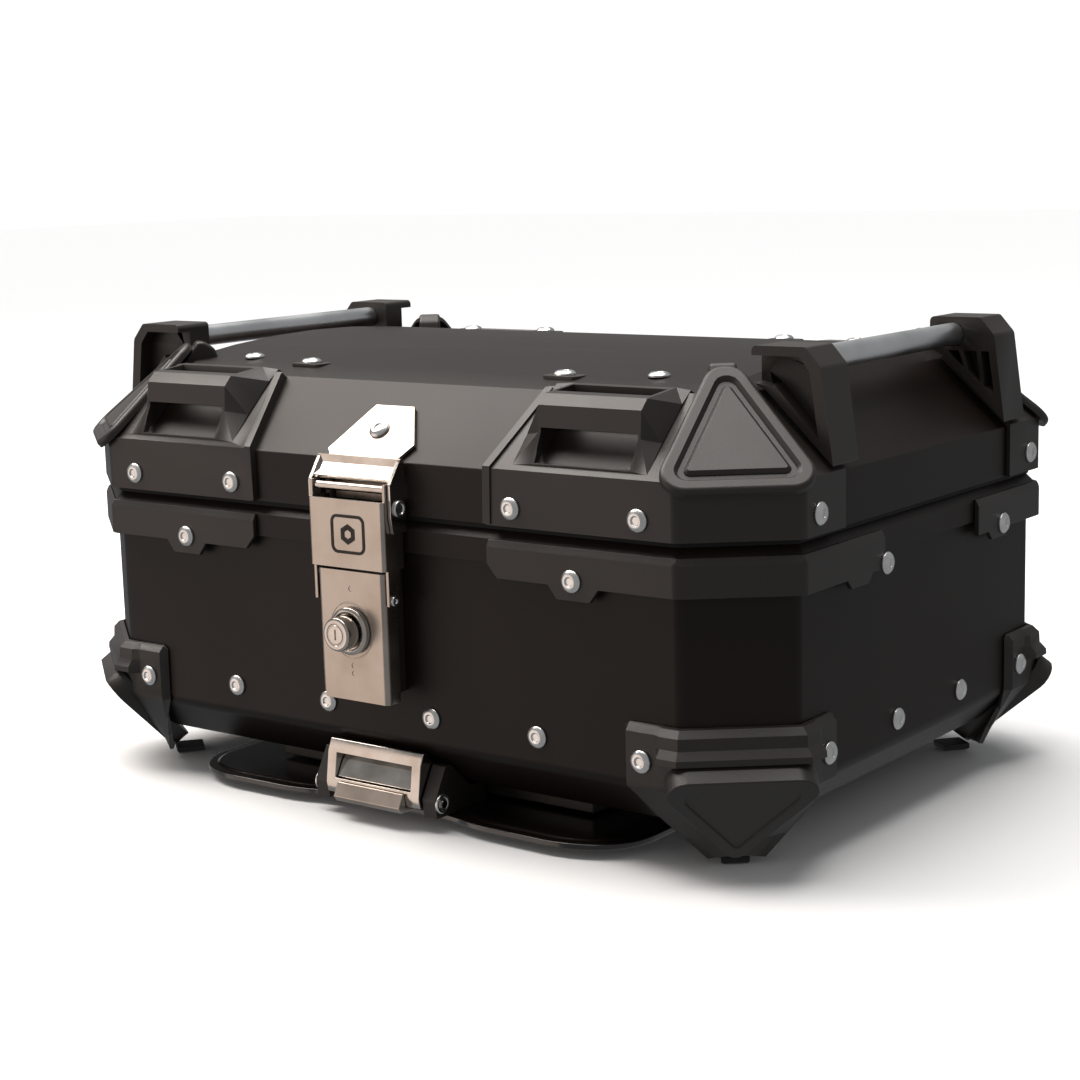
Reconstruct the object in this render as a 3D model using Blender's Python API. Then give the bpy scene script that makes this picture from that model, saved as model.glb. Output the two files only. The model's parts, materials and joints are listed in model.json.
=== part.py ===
"""Motorcycle top case: riveted aluminium tub and lid, plastic corners, front latch, quick-release plate.

The case stands on four corner feet, with its width along X and its latch facing -Y.
Lengths in this file are millimetres, and the mesh builders turn them into metres.
"""

import math

import bmesh
import bpy
from mathutils import Matrix, Vector

MM = 0.001
GAP = 0.3

# Shapes are laid out from the tub's centre. The part's origin is under the middle of its overall
# box, which the lock knob carries forward, so the tub's centre lies this far behind it.
TUB_CENTRE = (0.0, 10.05, 0.0)

# Tub, measured outside its sheet metal
TUB_HALF_X = 224.5
TUB_HALF_Y = 155.5
TUB_CUT_X = 42.0
TUB_CUT_Y = 34.0
TUB_FLOOR_Z = 20.0
TUB_BEND_Z = 42.3
TUB_TOP_Z = 150.0
SHEET = 2.0

# Rim profile, seal and lid
RIM_TOP_Z = 156.5
LID_GROW = 3.0
LID_BOTTOM_Z = 159.5
LID_BEND_Z = 185.5
LID_EDGE_Z = 220.0
LID_EDGE_INSET = 38.0
LID_PANEL_Z = 224.0
LID_PANEL_INSET = 49.0
LID_CROWN = 8.5
SIDE_STEPS = 6

# Corner covers on the lid
COVER_THICK = 2.0
COVER_FRONT_X = 77.0
COVER_TOP_X = 88.0
COVER_SIDE_Y = 87.0
BRIDGE_X = (92.0, 103.0, 161.0, 168.5)
STRAP_X0 = 105.0
STRAP_X1 = 159.0

# Triangular pads on the lid's corners: insets are from the tub's cut face
PAD_HALF = 41.0
PAD_BASE_Z = 184.0
PAD_BASE_INSET = -12.0
PAD_APEX_Z = 237.5
PAD_APEX_INSET = 46.0
PAD_FOLD_Z = 224.3
PAD_LIFT = 0.5
PAD_TOP_SLOPE = 1.45
COVER_TURN = 0.4

# Hand rails and their brackets
RAIL_X = 202.0
RAIL_Z = 234.0
RAIL_RADIUS = 6.0
BRACKET_Y0 = 77.0
BRACKET_Y1 = 101.0
BRACKET_TOP_Z = 243.0
RECESS_DEPTH = 9.0

# Lid hinge
HINGE_Y = 162.6
HINGE_Z = 158.0
HINGE_HALF_X = 75.0

# Front latch
LATCH_PIVOT = (0.0, -167.0, 129.5)
HOOK_PIVOT = (0.0, -169.0, 118.5)
EAR_RADIUS = 4.0
LOCK_Z = 102.0

# Quick-release plate and its lever
PLATE_Z0 = 4.5
PLATE_Z1 = 7.5
RELEASE_PIVOT = (0.0, -157.0, 15.0)

CORNERS = {"front_left": (-1, -1), "front_right": (1, -1), "rear_left": (-1, 1), "rear_right": (1, 1)}

PAINT = ("powder_coat", (0.030, 0.024, 0.021), 0.45, 0.3)
PLASTIC = ("black_plastic", (0.035, 0.029, 0.026), 0.55, 0.0)
STEEL = ("polished_steel", (0.62, 0.60, 0.57), 0.25, 1.0)
ALUMINIUM = ("satin_aluminium", (0.70, 0.71, 0.72), 0.35, 1.0)
RUBBER = ("rubber", (0.012, 0.012, 0.012), 0.8, 0.0)
GLOSS = ("gloss_paint", (0.018, 0.014, 0.012), 0.15, 0.2)


def clear_scene():
    for obj in list(bpy.data.objects):
        bpy.data.objects.remove(obj, do_unlink=True)


def material(finish):
    name, colour, roughness, metallic = finish
    found = bpy.data.materials.get(name)
    if found:
        return found
    made = bpy.data.materials.new(name)
    made.use_nodes = True
    shader = made.node_tree.nodes["Principled BSDF"]
    shader.inputs["Base Color"].default_value = (*colour, 1)
    shader.inputs["Roughness"].default_value = roughness
    shader.inputs["Metallic"].default_value = metallic
    return made


def finish_mesh(name, bm, finish, origin=(0, 0, 0), smooth=False):
    """Turns a bmesh in millimetres into a named object, with its origin at the given point."""
    bmesh.ops.remove_doubles(bm, verts=bm.verts, dist=1e-4)
    bmesh.ops.recalc_face_normals(bm, faces=bm.faces)
    bmesh.ops.transform(bm, matrix=Matrix.Translation(-Vector(origin)), verts=bm.verts)
    bmesh.ops.scale(bm, vec=(MM, MM, MM), verts=bm.verts)
    place = Vector(TUB_CENTRE) + Vector(origin)
    mesh = bpy.data.meshes.new(name)
    bm.to_mesh(mesh)
    bm.free()
    if smooth:
        mesh.shade_smooth()
        mesh.set_sharp_from_angle(angle=math.radians(35))
    mesh.materials.append(material(finish))
    obj = bpy.data.objects.new(name, mesh)
    obj.location = place * MM
    bpy.context.scene.collection.objects.link(obj)
    return obj


def helper(obj):
    obj.hide_render = True
    obj.display_type = "WIRE"
    return obj


def combine(obj, other, operation):
    cut = obj.modifiers.new(operation.title() + "_" + other.name, "BOOLEAN")
    cut.operation = operation
    cut.solver = "EXACT"
    cut.object = helper(other)


def eight_corners(inset):
    """The tub's outline moved inwards, as half sizes and corner cuts."""
    length = math.hypot(TUB_CUT_X, TUB_CUT_Y)
    nx, ny = TUB_CUT_Y / length, TUB_CUT_X / length
    shrink = inset * (nx + ny - 1)
    return TUB_HALF_X - inset, TUB_HALF_Y - inset, TUB_CUT_X - shrink / nx, TUB_CUT_Y - shrink / ny


def ring(inset, z, steps=1, rise=None):
    """Points round the outline. The sides have extra points, which a crowned lid needs."""
    hx, hy, cx, cy = eight_corners(inset)
    side = [-(hy - cy) + 2 * (hy - cy) * i / steps for i in range(steps + 1)]
    flat = [(hx, y) for y in side] + [(hx - cx, hy), (cx - hx, hy)]
    flat += [(-hx, -y) for y in side] + [(cx - hx, -hy), (hx - cx, -hy)]
    return [(x, y, z + (rise(y) if rise else 0)) for x, y in flat]


def skin(bm, rings, closed=False):
    """Joins rings of points by strips of faces, and returns the vertices of each."""
    rows = [[bm.verts.new(point) for point in points] for points in rings]
    pairs = list(zip(rows, rows[1:]))
    if closed:
        pairs.append((rows[-1], rows[0]))
    for low, high in pairs:
        for i in range(len(low)):
            j = (i + 1) % len(low)
            bm.faces.new((low[i], low[j], high[j], high[i]))
    return rows


def swept_ring(name, profile, finish):
    """A closed profile of (inset, z) points carried round the case outline."""
    bm = bmesh.new()
    skin(bm, [ring(inset, z) for inset, z in profile], closed=True)
    return finish_mesh(name, bm, finish)


def prism(name, outline, along, finish, origin=(0, 0, 0)):
    """A flat outline of points, extruded along a vector."""
    bm = bmesh.new()
    low = [bm.verts.new(point) for point in outline]
    high = [bm.verts.new(Vector(point) + Vector(along)) for point in outline]
    bm.faces.new(low)
    bm.faces.new(high[::-1])
    for i in range(len(low)):
        j = (i + 1) % len(low)
        bm.faces.new((low[i], low[j], high[j], high[i]))
    return finish_mesh(name, bm, finish, origin)


def prism_x(name, outline, x0, x1, finish, origin=(0, 0, 0)):
    return prism(name, [(x0, y, z) for y, z in outline], (x1 - x0, 0, 0), finish, origin)


def box(name, low, high, finish, origin=(0, 0, 0)):
    outline = [(low[1], low[2]), (high[1], low[2]), (high[1], high[2]), (low[1], high[2])]
    return prism_x(name, outline, low[0], high[0], finish, origin)


def turned(name, profile, centre, axis, finish, origin=None, segments=20):
    """A solid of revolution: profile points are (radius, distance along the axis) from the centre."""
    bm = bmesh.new()
    spin = Vector(axis).to_track_quat("Z", "Y").to_matrix()
    rows = []
    for radius, height in profile:
        turn = [2 * math.pi * i / segments for i in range(segments)]
        rows.append([Vector((radius * math.cos(a), radius * math.sin(a), height)) for a in turn])
    rows = [[Vector(centre) + spin @ point for point in row] for row in rows]
    made = skin(bm, rows)
    bm.faces.new(made[0])
    bm.faces.new(made[-1])
    return finish_mesh(name, bm, finish, origin or centre, smooth=True)


def tube(name, centre, axis, outer, inner, half, finish, segments=16):
    """A bored cylinder whose bore is open at both ends."""
    bm = bmesh.new()
    spin = Vector(axis).to_track_quat("Z", "Y").to_matrix()
    rows = []
    for radius, height in ((outer, -half), (outer, half), (inner, half), (inner, -half)):
        turn = [2 * math.pi * i / segments for i in range(segments)]
        row = [Vector((radius * math.cos(a), radius * math.sin(a), height)) for a in turn]
        rows.append([Vector(centre) + spin @ point for point in row])
    skin(bm, rows, closed=True)
    return finish_mesh(name, bm, finish)


def body_shell():
    """Folded tub: sloping lower sides, upright walls and an open top."""
    drop = TUB_BEND_Z - TUB_FLOOR_Z
    bm = bmesh.new()
    rows = skin(
        bm,
        [
            ring(drop, TUB_FLOOR_Z),
            ring(0, TUB_BEND_Z),
            ring(0, TUB_TOP_Z),
            ring(SHEET, TUB_TOP_Z),
            ring(SHEET, TUB_BEND_Z + 0.8),
            ring(drop + 1.0, TUB_FLOOR_Z + SHEET),
        ],
    )
    bm.faces.new(rows[0])
    bm.faces.new(rows[-1])
    return finish_mesh("body_shell", bm, PAINT)


def crown(y):
    reach = eight_corners(LID_PANEL_INSET - LID_GROW)[1]
    return LID_CROWN * max(0.0, 1 - (y / reach) ** 2)


def lid_shell():
    """Pressed lid: skirt, sloping sides and a top that is crowned from front to back."""
    grow = -LID_GROW
    outer = [
        ring(grow, LID_BOTTOM_Z, SIDE_STEPS),
        ring(grow, LID_BEND_Z, SIDE_STEPS),
        ring(grow + LID_EDGE_INSET, LID_EDGE_Z, SIDE_STEPS),
        ring(grow + LID_PANEL_INSET, LID_PANEL_Z, SIDE_STEPS, crown),
    ]
    inner = [
        ring(grow + LID_PANEL_INSET + 1, LID_PANEL_Z - SHEET, SIDE_STEPS, crown),
        ring(grow + LID_EDGE_INSET + 1, LID_EDGE_Z - SHEET, SIDE_STEPS),
        ring(grow + SHEET, LID_BEND_Z - 0.8, SIDE_STEPS),
        ring(grow + SHEET, LID_BOTTOM_Z, SIDE_STEPS),
    ]
    bm = bmesh.new()
    rows = skin(bm, outer + inner, closed=False)
    skin_between(bm, rows[-1], rows[0])
    for edge in (rows[3], rows[4]):
        crowned_cap(bm, edge)
    drop_between(bm, rows[3], rows[4])
    return finish_mesh("lid_shell", bm, PAINT)


def skin_between(bm, low, high):
    for i in range(len(low)):
        j = (i + 1) % len(low)
        bm.faces.new((low[i], low[j], high[j], high[i]))


def drop_between(bm, low, high):
    """Removes the strip that skin() put between two rings."""
    wanted = set(low) | set(high)
    strip = [face for face in bm.faces if len(face.verts) == 4 and set(face.verts) <= wanted]
    strip = [face for face in strip if set(face.verts) & set(low) and set(face.verts) & set(high)]
    bmesh.ops.delete(bm, geom=strip, context="FACES_ONLY")


def crowned_cap(bm, edge):
    """Fills a ring with strips from side to side, so that the fill follows the crown."""
    right = edge[: SIDE_STEPS + 1]
    left = edge[SIDE_STEPS + 3 : 2 * SIDE_STEPS + 4][::-1]
    for i in range(SIDE_STEPS):
        bm.faces.new((right[i], right[i + 1], left[i + 1], left[i]))
    bm.faces.new((right[-1], edge[SIDE_STEPS + 1], edge[SIDE_STEPS + 2], left[-1]))
    bm.faces.new((left[0], edge[-2], edge[-1], right[0]))


def corner_band(name, sx, sy, rows, stations, finish):
    """A strip round one corner. Each row is (inner inset, outer inset, z at each station)."""
    grid = []
    for side in (0, 1):
        for row in rows if side == 0 else rows[::-1]:
            inset, heights = row[side], row[2]
            hx, hy, cx, cy = eight_corners(inset)
            line = []
            for (kind, place), z in zip(stations, heights):
                if kind == "front":
                    point = (place, hy)
                elif kind == "side":
                    point = (hx, place)
                elif kind == "corner_front":
                    point = (hx - cx, hy)
                else:
                    point = (hx, hy - cy)
                line.append((sx * point[0], sy * point[1], z))
            grid.append(line)
    bm = bmesh.new()
    rows_made = [[bm.verts.new(point) for point in line] for line in grid]
    for low, high in zip(rows_made, rows_made[1:] + rows_made[:1]):
        for i in range(len(low) - 1):
            bm.faces.new((low[i], low[i + 1], high[i + 1], high[i]))
    bm.faces.new([line[0] for line in rows_made])
    bm.faces.new([line[-1] for line in rows_made])
    return finish_mesh(name, bm, finish)


def rim_trims():
    """Corner wraps on the rim, which dip in a tab under each rivet."""
    low, dip, high = 134.0, 127.5, 149.0
    stations = [("front", x) for x in (77, 83, 113, 118, 137, 142)]
    stations += [("corner_front", 0), ("corner_side", 0)]
    stations += [("side", y) for y in (101, 86, 82, 66, 62, 50)]
    bottom = [low + 7, low, low, dip, dip, low, low, low, low, low, dip + 2, dip + 2, low, low]
    for name, (sx, sy) in CORNERS.items():
        rows = [
            (-3.3, -5.8, bottom),
            (-3.3, -5.8, [high] * len(bottom)),
            (-3.3, -4.0, [high + 3.5] * len(bottom)),
        ]
        corner_band("rim_trim_" + name, sx, sy, rows, stations, PLASTIC)


def foot_frame(sx, sy):
    """Centre of a corner's cut face, its inward normal and its tangent."""
    a = Vector((TUB_HALF_X - TUB_CUT_X, TUB_HALF_Y, 0))
    b = Vector((TUB_HALF_X, TUB_HALF_Y - TUB_CUT_Y, 0))
    middle, tangent = (a + b) / 2, (b - a).normalized()
    inward = Vector((tangent.y, -tangent.x, 0))
    if inward.dot(middle) > 0:
        inward = -inward
    mirror = Matrix.Diagonal((sx, sy, 1)).to_3x3()
    return mirror @ middle, mirror @ inward, mirror @ tangent


def wedge(name, sx, sy, profile, finish):
    """A solid across a corner: profile points are (inset, z, half width)."""
    middle, inward, tangent = foot_frame(sx, sy)
    bm = bmesh.new()
    sides = []
    for hand in (-1, 1):
        places = [middle + inward * d + tangent * (hand * w) + Vector((0, 0, z)) for d, z, w in profile]
        sides.append([bm.verts.new(place) for place in places])
    for i in range(len(profile)):
        j = (i + 1) % len(profile)
        bm.faces.new((sides[0][i], sides[0][j], sides[1][j], sides[1][i]))
    for side in sides:
        bm.faces.new(side)
    bmesh.ops.triangulate(bm, faces=bm.faces)
    return finish_mesh(name, bm, finish)


def corner_guards():
    """Lower corner guards: a stepped band, with an arrow-shaped foot under it."""
    stations = [("front", 152), ("corner_front", 0), ("corner_side", 0), ("side", 92)]
    flat = [1, 1, 1, 1]
    for name, (sx, sy) in CORNERS.items():
        levels = [(44.5, -5.5), (50, -8.0), (56, -6.0), (58, -3.5)]
        levels += [(64, -3.5), (66, -6.0), (72, -6.0), (73, -4.5)]
        rows = [(-GAP, outer, [z * one for one in flat]) for z, outer in levels]
        guard = corner_band("corner_guard_" + name, sx, sy, rows, stations, PLASTIC)
        profile = [(-0.5, 46, 27), (-5, 48, 27), (-6, 44, 35), (-5, 39, 35), (22, 5, 8), (23, 4, 8)]
        profile += [(40, 4, 8), (40, 19.4, 12), (22.0, 19.4, 16), (-0.5, 41.6, 27)]
        combine(guard, wedge("guard_foot_" + name, sx, sy, profile, PLASTIC), "UNION")
        foot = [(24, 0, 6), (23.5, 0.8, 7), (23.5, 3.7, 7), (39, 3.7, 7), (39, 0.8, 7), (38.5, 0, 6)]
        wedge("rubber_foot_" + name, sx, sy, foot, RUBBER)


def cover_sheet(name, sx, sy):
    """Folded sheet over one lid corner, from the skirt up to the edge of the top."""
    layers = []
    for standoff in (GAP, COVER_THICK + GAP):
        grow = -LID_GROW - standoff
        bend = LID_BEND_Z + 0.6 * standoff
        edge = LID_EDGE_Z + standoff
        layers.append(((grow, LID_BOTTOM_Z), (grow, bend), (grow + LID_EDGE_INSET, edge)))
    bm = bmesh.new()
    rows = []
    for layer in (layers[0], layers[1][::-1]):
        for inset, z in layer:
            hx, hy, cx, cy = eight_corners(inset)
            front = COVER_TOP_X if z >= LID_EDGE_Z else COVER_FRONT_X
            line = [(front, hy), (hx - cx, hy), (hx, hy - cy), (hx, COVER_SIDE_Y)]
            rows.append([bm.verts.new((sx * x, sy * y, z)) for x, y in line])
    for low, high in zip(rows, rows[1:] + rows[:1]):
        for i in range(3):
            bm.faces.new((low[i], low[i + 1], high[i + 1], high[i]))
    bm.faces.new([line[0] for line in rows])
    bm.faces.new([line[-1] for line in rows])
    return finish_mesh(name, bm, PLASTIC)


def bridge_bar(name, sx, sy):
    """Tie-down bar over the cover's slope, with ends that taper down to it."""
    full = [(158.6, 190), (152, 204), (151, 217), (146, 222), (122, 224.5), (118.5, 222), (157.4, 186.8)]
    flush = [(158.4, 189), (146, 202), (137, 210), (129, 218), (121.5, 223.5), (118.5, 222), (157.4, 186.8)]
    bm = bmesh.new()
    rows = []
    for x, profile in zip(BRIDGE_X, (flush, full, full, flush)):
        rows.append([bm.verts.new((sx * x, sy * y, z)) for y, z in profile])
    for low, high in zip(rows, rows[1:]):
        skin_between(bm, low, high)
    bm.faces.new(rows[0])
    bm.faces.new(rows[-1])
    bmesh.ops.triangulate(bm, faces=bm.faces)
    return finish_mesh(name, bm, PLASTIC)


def corner_covers():
    """Plastic lid corners, each with a tie-down bridge that a strap passes under."""
    way = [(165, 190.5), (165, 206), (145, 206), (138, 230), (126, 230), (126, 217.5), (155.5, 190.5)]
    for name, (sx, sy) in CORNERS.items():
        cover = cover_sheet("corner_cover_" + name, sx, sy)
        combine(cover, bridge_bar("bridge_" + name, sx, sy), "UNION")
        points = [(sx * STRAP_X0, sy * y, z) for y, z in way]
        along = (sx * (STRAP_X1 - STRAP_X0), 0, 0)
        combine(cover, prism("strap_way_" + name, points, along, PLASTIC), "DIFFERENCE")


def pad_back(z):
    """Inset of a pad's back: along the cover's slope, then further in above the lid's edge."""
    turn = COVER_TURN * COVER_THICK
    slope = LID_EDGE_INSET / (LID_EDGE_Z - LID_BEND_Z + turn)
    start = -LID_GROW - COVER_THICK - 2 * GAP - PAD_LIFT
    low = start + slope * (min(z, PAD_FOLD_Z) - LID_BEND_Z - turn)
    return low + PAD_TOP_SLOPE * max(0.0, z - PAD_FOLD_Z)


def corner_pads():
    """Triangular bumper pads that lie along the lid's corners and stand above them."""
    corners = [(-PAD_HALF, PAD_BASE_Z), (PAD_HALF, PAD_BASE_Z), (0, PAD_APEX_Z + 7.5)]
    lean = (PAD_APEX_INSET - PAD_BASE_INSET) / (PAD_APEX_Z - PAD_BASE_Z)
    fold_t = PAD_HALF * (1 - (PAD_FOLD_Z - PAD_BASE_Z) / (PAD_APEX_Z + 7.5 - PAD_BASE_Z))
    for name, (sx, sy) in CORNERS.items():
        middle, inward, tangent = foot_frame(sx, sy)
        outline = rounded(corners, 11.0, 4)
        right = [point for point in outline if point[0] > 0 and point[1] < PAD_FOLD_Z]
        left = [point for point in outline if point[0] < 0 and point[1] < PAD_FOLD_Z]
        top = [point for point in outline if point[1] >= PAD_FOLD_Z]
        below = left + right
        bm = bmesh.new()
        loops = []
        for depth in (0, 1):
            line = []
            for t, z in below + [(fold_t, PAD_FOLD_Z)] + top + [(-fold_t, PAD_FOLD_Z)]:
                d = PAD_BASE_INSET + lean * (z - PAD_BASE_Z)
                if depth:
                    z = max(z, LID_BEND_Z + COVER_TURN * COVER_THICK + GAP)
                    d = pad_back(z)
                line.append(bm.verts.new(middle + inward * d + tangent * t + Vector((0, 0, z))))
            loops.append(line)
        skin_between(bm, loops[0], loops[1])
        bm.faces.new(loops[0])
        fold = len(below)
        bm.faces.new(loops[1][: fold + 1] + loops[1][-1:])
        bm.faces.new(loops[1][fold:])
        bmesh.ops.triangulate(bm, faces=bm.faces)
        finish_mesh("corner_pad_" + name, bm, PLASTIC)


def rounded(corners, radius, steps):
    """An outline with its corners rounded by arcs."""
    points = []
    count = len(corners)
    for i, corner in enumerate(corners):
        here = Vector(corner)
        before = (Vector(corners[i - 1]) - here).normalized()
        after = (Vector(corners[(i + 1) % count]) - here).normalized()
        angle = before.angle(after)
        reach = radius / math.tan(angle / 2)
        centre = here + (before + after).normalized() * (radius / math.sin(angle / 2))
        start = here + before * reach - centre
        end = here + after * reach - centre
        for k in range(steps + 1):
            part = start.lerp(end, k / steps).normalized() * radius
            points.append(tuple(centre + part))
    return points


def rail_brackets():
    """Blocks on the lid's sides that hold the hand rails in sockets."""
    for name, (sx, sy) in CORNERS.items():
        outline = [(231, 189.5), (225, 234), (217, BRACKET_TOP_Z), (190, BRACKET_TOP_Z)]
        outline += [(188.5, 241.5), (188.5, 226.3), (196, 222.8)]
        points = [(sx * x, sy * BRACKET_Y0, z) for x, z in outline]
        block = prism("rail_bracket_" + name, points, (0, sy * (BRACKET_Y1 - BRACKET_Y0), 0), PLASTIC)
        recess = [(223.5, 201), (219, 232), (213.5, 238.5), (194, 238.5), (192, 236.5), (192, 231), (201, 225)]
        points = [(sx * x, sy * (BRACKET_Y1 - RECESS_DEPTH), z) for x, z in recess]
        combine(block, prism("recess_" + name, points, (0, sy * 20, 0), PLASTIC), "DIFFERENCE")
        centre = (sx * RAIL_X, sy * (BRACKET_Y0 + 4), RAIL_Z)
        hole = [(RAIL_RADIUS + GAP, -6), (RAIL_RADIUS + GAP, 6)]
        combine(block, turned("socket_" + name, hole, centre, (0, 1, 0), PLASTIC), "DIFFERENCE")


def hand_rails():
    reach = BRACKET_Y0 + 9
    for name, sx in (("left", -1), ("right", 1)):
        profile = [(RAIL_RADIUS, -reach), (RAIL_RADIUS, reach)]
        turned("hand_rail_" + name, profile, (sx * RAIL_X, 0, RAIL_Z), (0, 1, 0), ALUMINIUM)


def rivet(name, centre, axis, finish=STEEL):
    """Domed rivet head, standing on the face behind it."""
    profile = [(5.6, 0.3), (5.4, 1.1), (4.0, 2.2), (1.6, 2.6)]
    turned(name, profile, centre, axis, finish, segments=12)


def rivets():
    for i, x in enumerate((-100.4, -34.5, 34.5, 100.4), 1):
        rivet("body_rivet_%d" % i, (x, -TUB_HALF_Y, 57.5), (0, -1, 0))
    for name, sx in (("left", -1), ("right", 1)):
        rivet("rim_rivet_" + name, (sx * 127.5, -TUB_HALF_Y - 5.8, 138.0), (0, -1, 0))


def hinge():
    """Butt hinge between the rim and the lid, with knuckles that share one pin."""
    turns = {"body": ((-60, 15), (0, 15), (60, 15)), "lid": ((-30, 14.5), (30, 14.5))}
    plates = {
        "body": [(159.1, 142), (160.6, 142), (160.6, 158), (159.1, 158)],
        "lid": [(158.9, 160), (163, 160), (163, 161.2), (160.4, 161.2), (160.4, 180), (158.9, 180)],
    }
    for side, knuckles in turns.items():
        half = HINGE_HALF_X if side == "body" else 44.5
        leaf = prism_x("hinge_leaf_" + side, plates[side], -half, half, STEEL)
        if side == "body":
            slots = ((-30, 15), (30, 15))
            for i, (x, reach) in enumerate(slots):
                low = (x - reach, 158.0, 153.4)
                combine(leaf, box("leaf_slot_%d" % i, low, (x + reach, 162, 160), STEEL), "DIFFERENCE")
        else:
            low = (-15.5, 158.0, 159)
            combine(leaf, box("leaf_gap", low, (15.5, 170, 162), STEEL), "DIFFERENCE")
        for i, (x, reach) in enumerate(knuckles):
            knuckle = tube(
                "knuckle_%s_%d" % (side, i), (x, HINGE_Y, HINGE_Z), (1, 0, 0), 3.3, 1.9, reach, STEEL
            )
            combine(leaf, knuckle, "UNION")
        if side == "body":
            bore = [(1.9, -HINGE_HALF_X - 5), (1.9, HINGE_HALF_X + 5)]
            combine(leaf, turned("leaf_bore", bore, (0, HINGE_Y, HINGE_Z), (1, 0, 0), STEEL), "DIFFERENCE")
    pin = [(1.6, -HINGE_HALF_X + 1), (1.6, HINGE_HALF_X - 1)]
    turned("hinge_pin", pin, (0, HINGE_Y, HINGE_Z), (1, 0, 0), STEEL, segments=12)


def keeper():
    """Plate riveted to the lid's front, bent at the lid's bend."""
    slope = Vector((0, LID_EDGE_INSET, LID_EDGE_Z - LID_BEND_Z)).normalized()
    out = Vector((0, -slope.z, slope.y))
    start = Vector((0, -TUB_HALF_Y - LID_GROW, LID_BEND_Z)) + out * 0.5
    outline = [(-21, -1), (-26, 4), (-12, 34), (13, 34), (27, 10), (21, -1)]
    points = [start + slope * s + Vector((x, 0, 0)) for x, s in outline]
    plate = prism("keeper_plate", points, out * 1.6, STEEL)
    skirt = box("keeper_skirt", (-18, -161.0, 166), (18, -158.9, 186.6), STEEL)
    combine(plate, skirt, "UNION")
    rivet("keeper_rivet", start + slope * 18 + out * 1.8, out)


def latch():
    """Front latch: housing on the tub, lock lever, and a hook that the lever draws down."""
    py, pz = LATCH_PIVOT[1:]
    outline = [(-156, 70), (-168, 70), (-168, 116), (-163.5, 122), (-163.5, 134), (-163.5, 150)]
    outline += [(-159.2, 150), (-159.2, 134), (-156, 134)]
    housing = prism_x("latch_housing", outline, -19, 19, PLASTIC)
    boss = [(EAR_RADIUS, -19), (EAR_RADIUS, 19)]
    combine(housing, turned("pivot_boss", boss, LATCH_PIVOT, (1, 0, 0), PLASTIC, segments=16), "UNION")
    combine(housing, box("pivot_arm", (-19, py, pz - 3.5), (19, -163, pz + 1), PLASTIC), "UNION")
    bore = [(2.2, -30), (2.2, 30)]
    combine(housing, turned("pivot_bore", bore, LATCH_PIVOT, (1, 0, 0), PLASTIC, segments=12), "DIFFERENCE")
    turned("latch_pivot_pin", [(1.9, -21.8), (1.9, 21.8)], LATCH_PIVOT, (1, 0, 0), STEEL, segments=12)

    lever = box("latch_lever", (-22, -173.4, 66), (22, -163.8, 132), STEEL, LATCH_PIVOT)
    inside = box("lever_inside", (-20.3, -171.7, 60), (20.3, -150, 140), STEEL)
    combine(lever, inside, "DIFFERENCE")
    combine(lever, turned("lever_bore", bore, LATCH_PIVOT, (1, 0, 0), STEEL, segments=12), "DIFFERENCE")
    barrel = [(12.0, 0.4), (12.0, 3.0), (10.5, 4.5)]
    turned("lock_barrel", barrel, (0, -173.4, LOCK_Z), (0, -1, 0), STEEL, segments=24)
    knob = [(8.6, 0.0), (8.6, 6.5), (7.6, 7.8)]
    turned("lock_knob", knob, (0, -178.2, LOCK_Z), (0, -1, 0), STEEL, segments=24)

    cover = box("latch_cover", (-24.6, -175.2, 133.6), (24.6, -160.5, 168), STEEL, HOOK_PIVOT)
    combine(cover, box("cover_inside", (-22.8, -173.6, 130), (22.8, -150, 172), STEEL), "DIFFERENCE")
    arm = [(-172.5, 116), (-165.5, 116), (-163, 136), (-172.5, 150)]
    for side, x in (("left", -24.6), ("right", 22.8)):
        combine(cover, prism_x("hook_arm_" + side, arm, x, x + 1.8, STEEL), "UNION")
        ear = [(-173, 160), (-167, 160), (-167, 176.5), (-173, 176.5)]
        combine(cover, prism_x("hook_ear_" + side, ear, x, x + 1.8, STEEL), "UNION")
    rod = [(2.2, -22.4), (2.2, 22.4)]
    turned("latch_crossbar", rod, (0, -169.8, 173.5), (1, 0, 0), STEEL, HOOK_PIVOT, segments=12)

    saddle = [(-162.3, 178), (-166, 178), (-168.5, 176.6), (-169.5, 178.5)]
    saddle += [(-166.5, 180.5), (-163.9, 184), (-163.6, 188), (-162.3, 188)]
    catch = prism_x("latch_catch", saddle, -26.8, 26.8, STEEL, HOOK_PIVOT)
    cheek = [(-160.6, 152), (-170, 152), (-171.5, 160), (-171.5, 176), (-163.5, 187.5), (-160.6, 187.5)]
    for side, x in (("left", -26.8), ("right", 25.0)):
        combine(catch, prism_x("cheek_" + side, cheek, x, x + 1.8, STEEL), "UNION")


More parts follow.
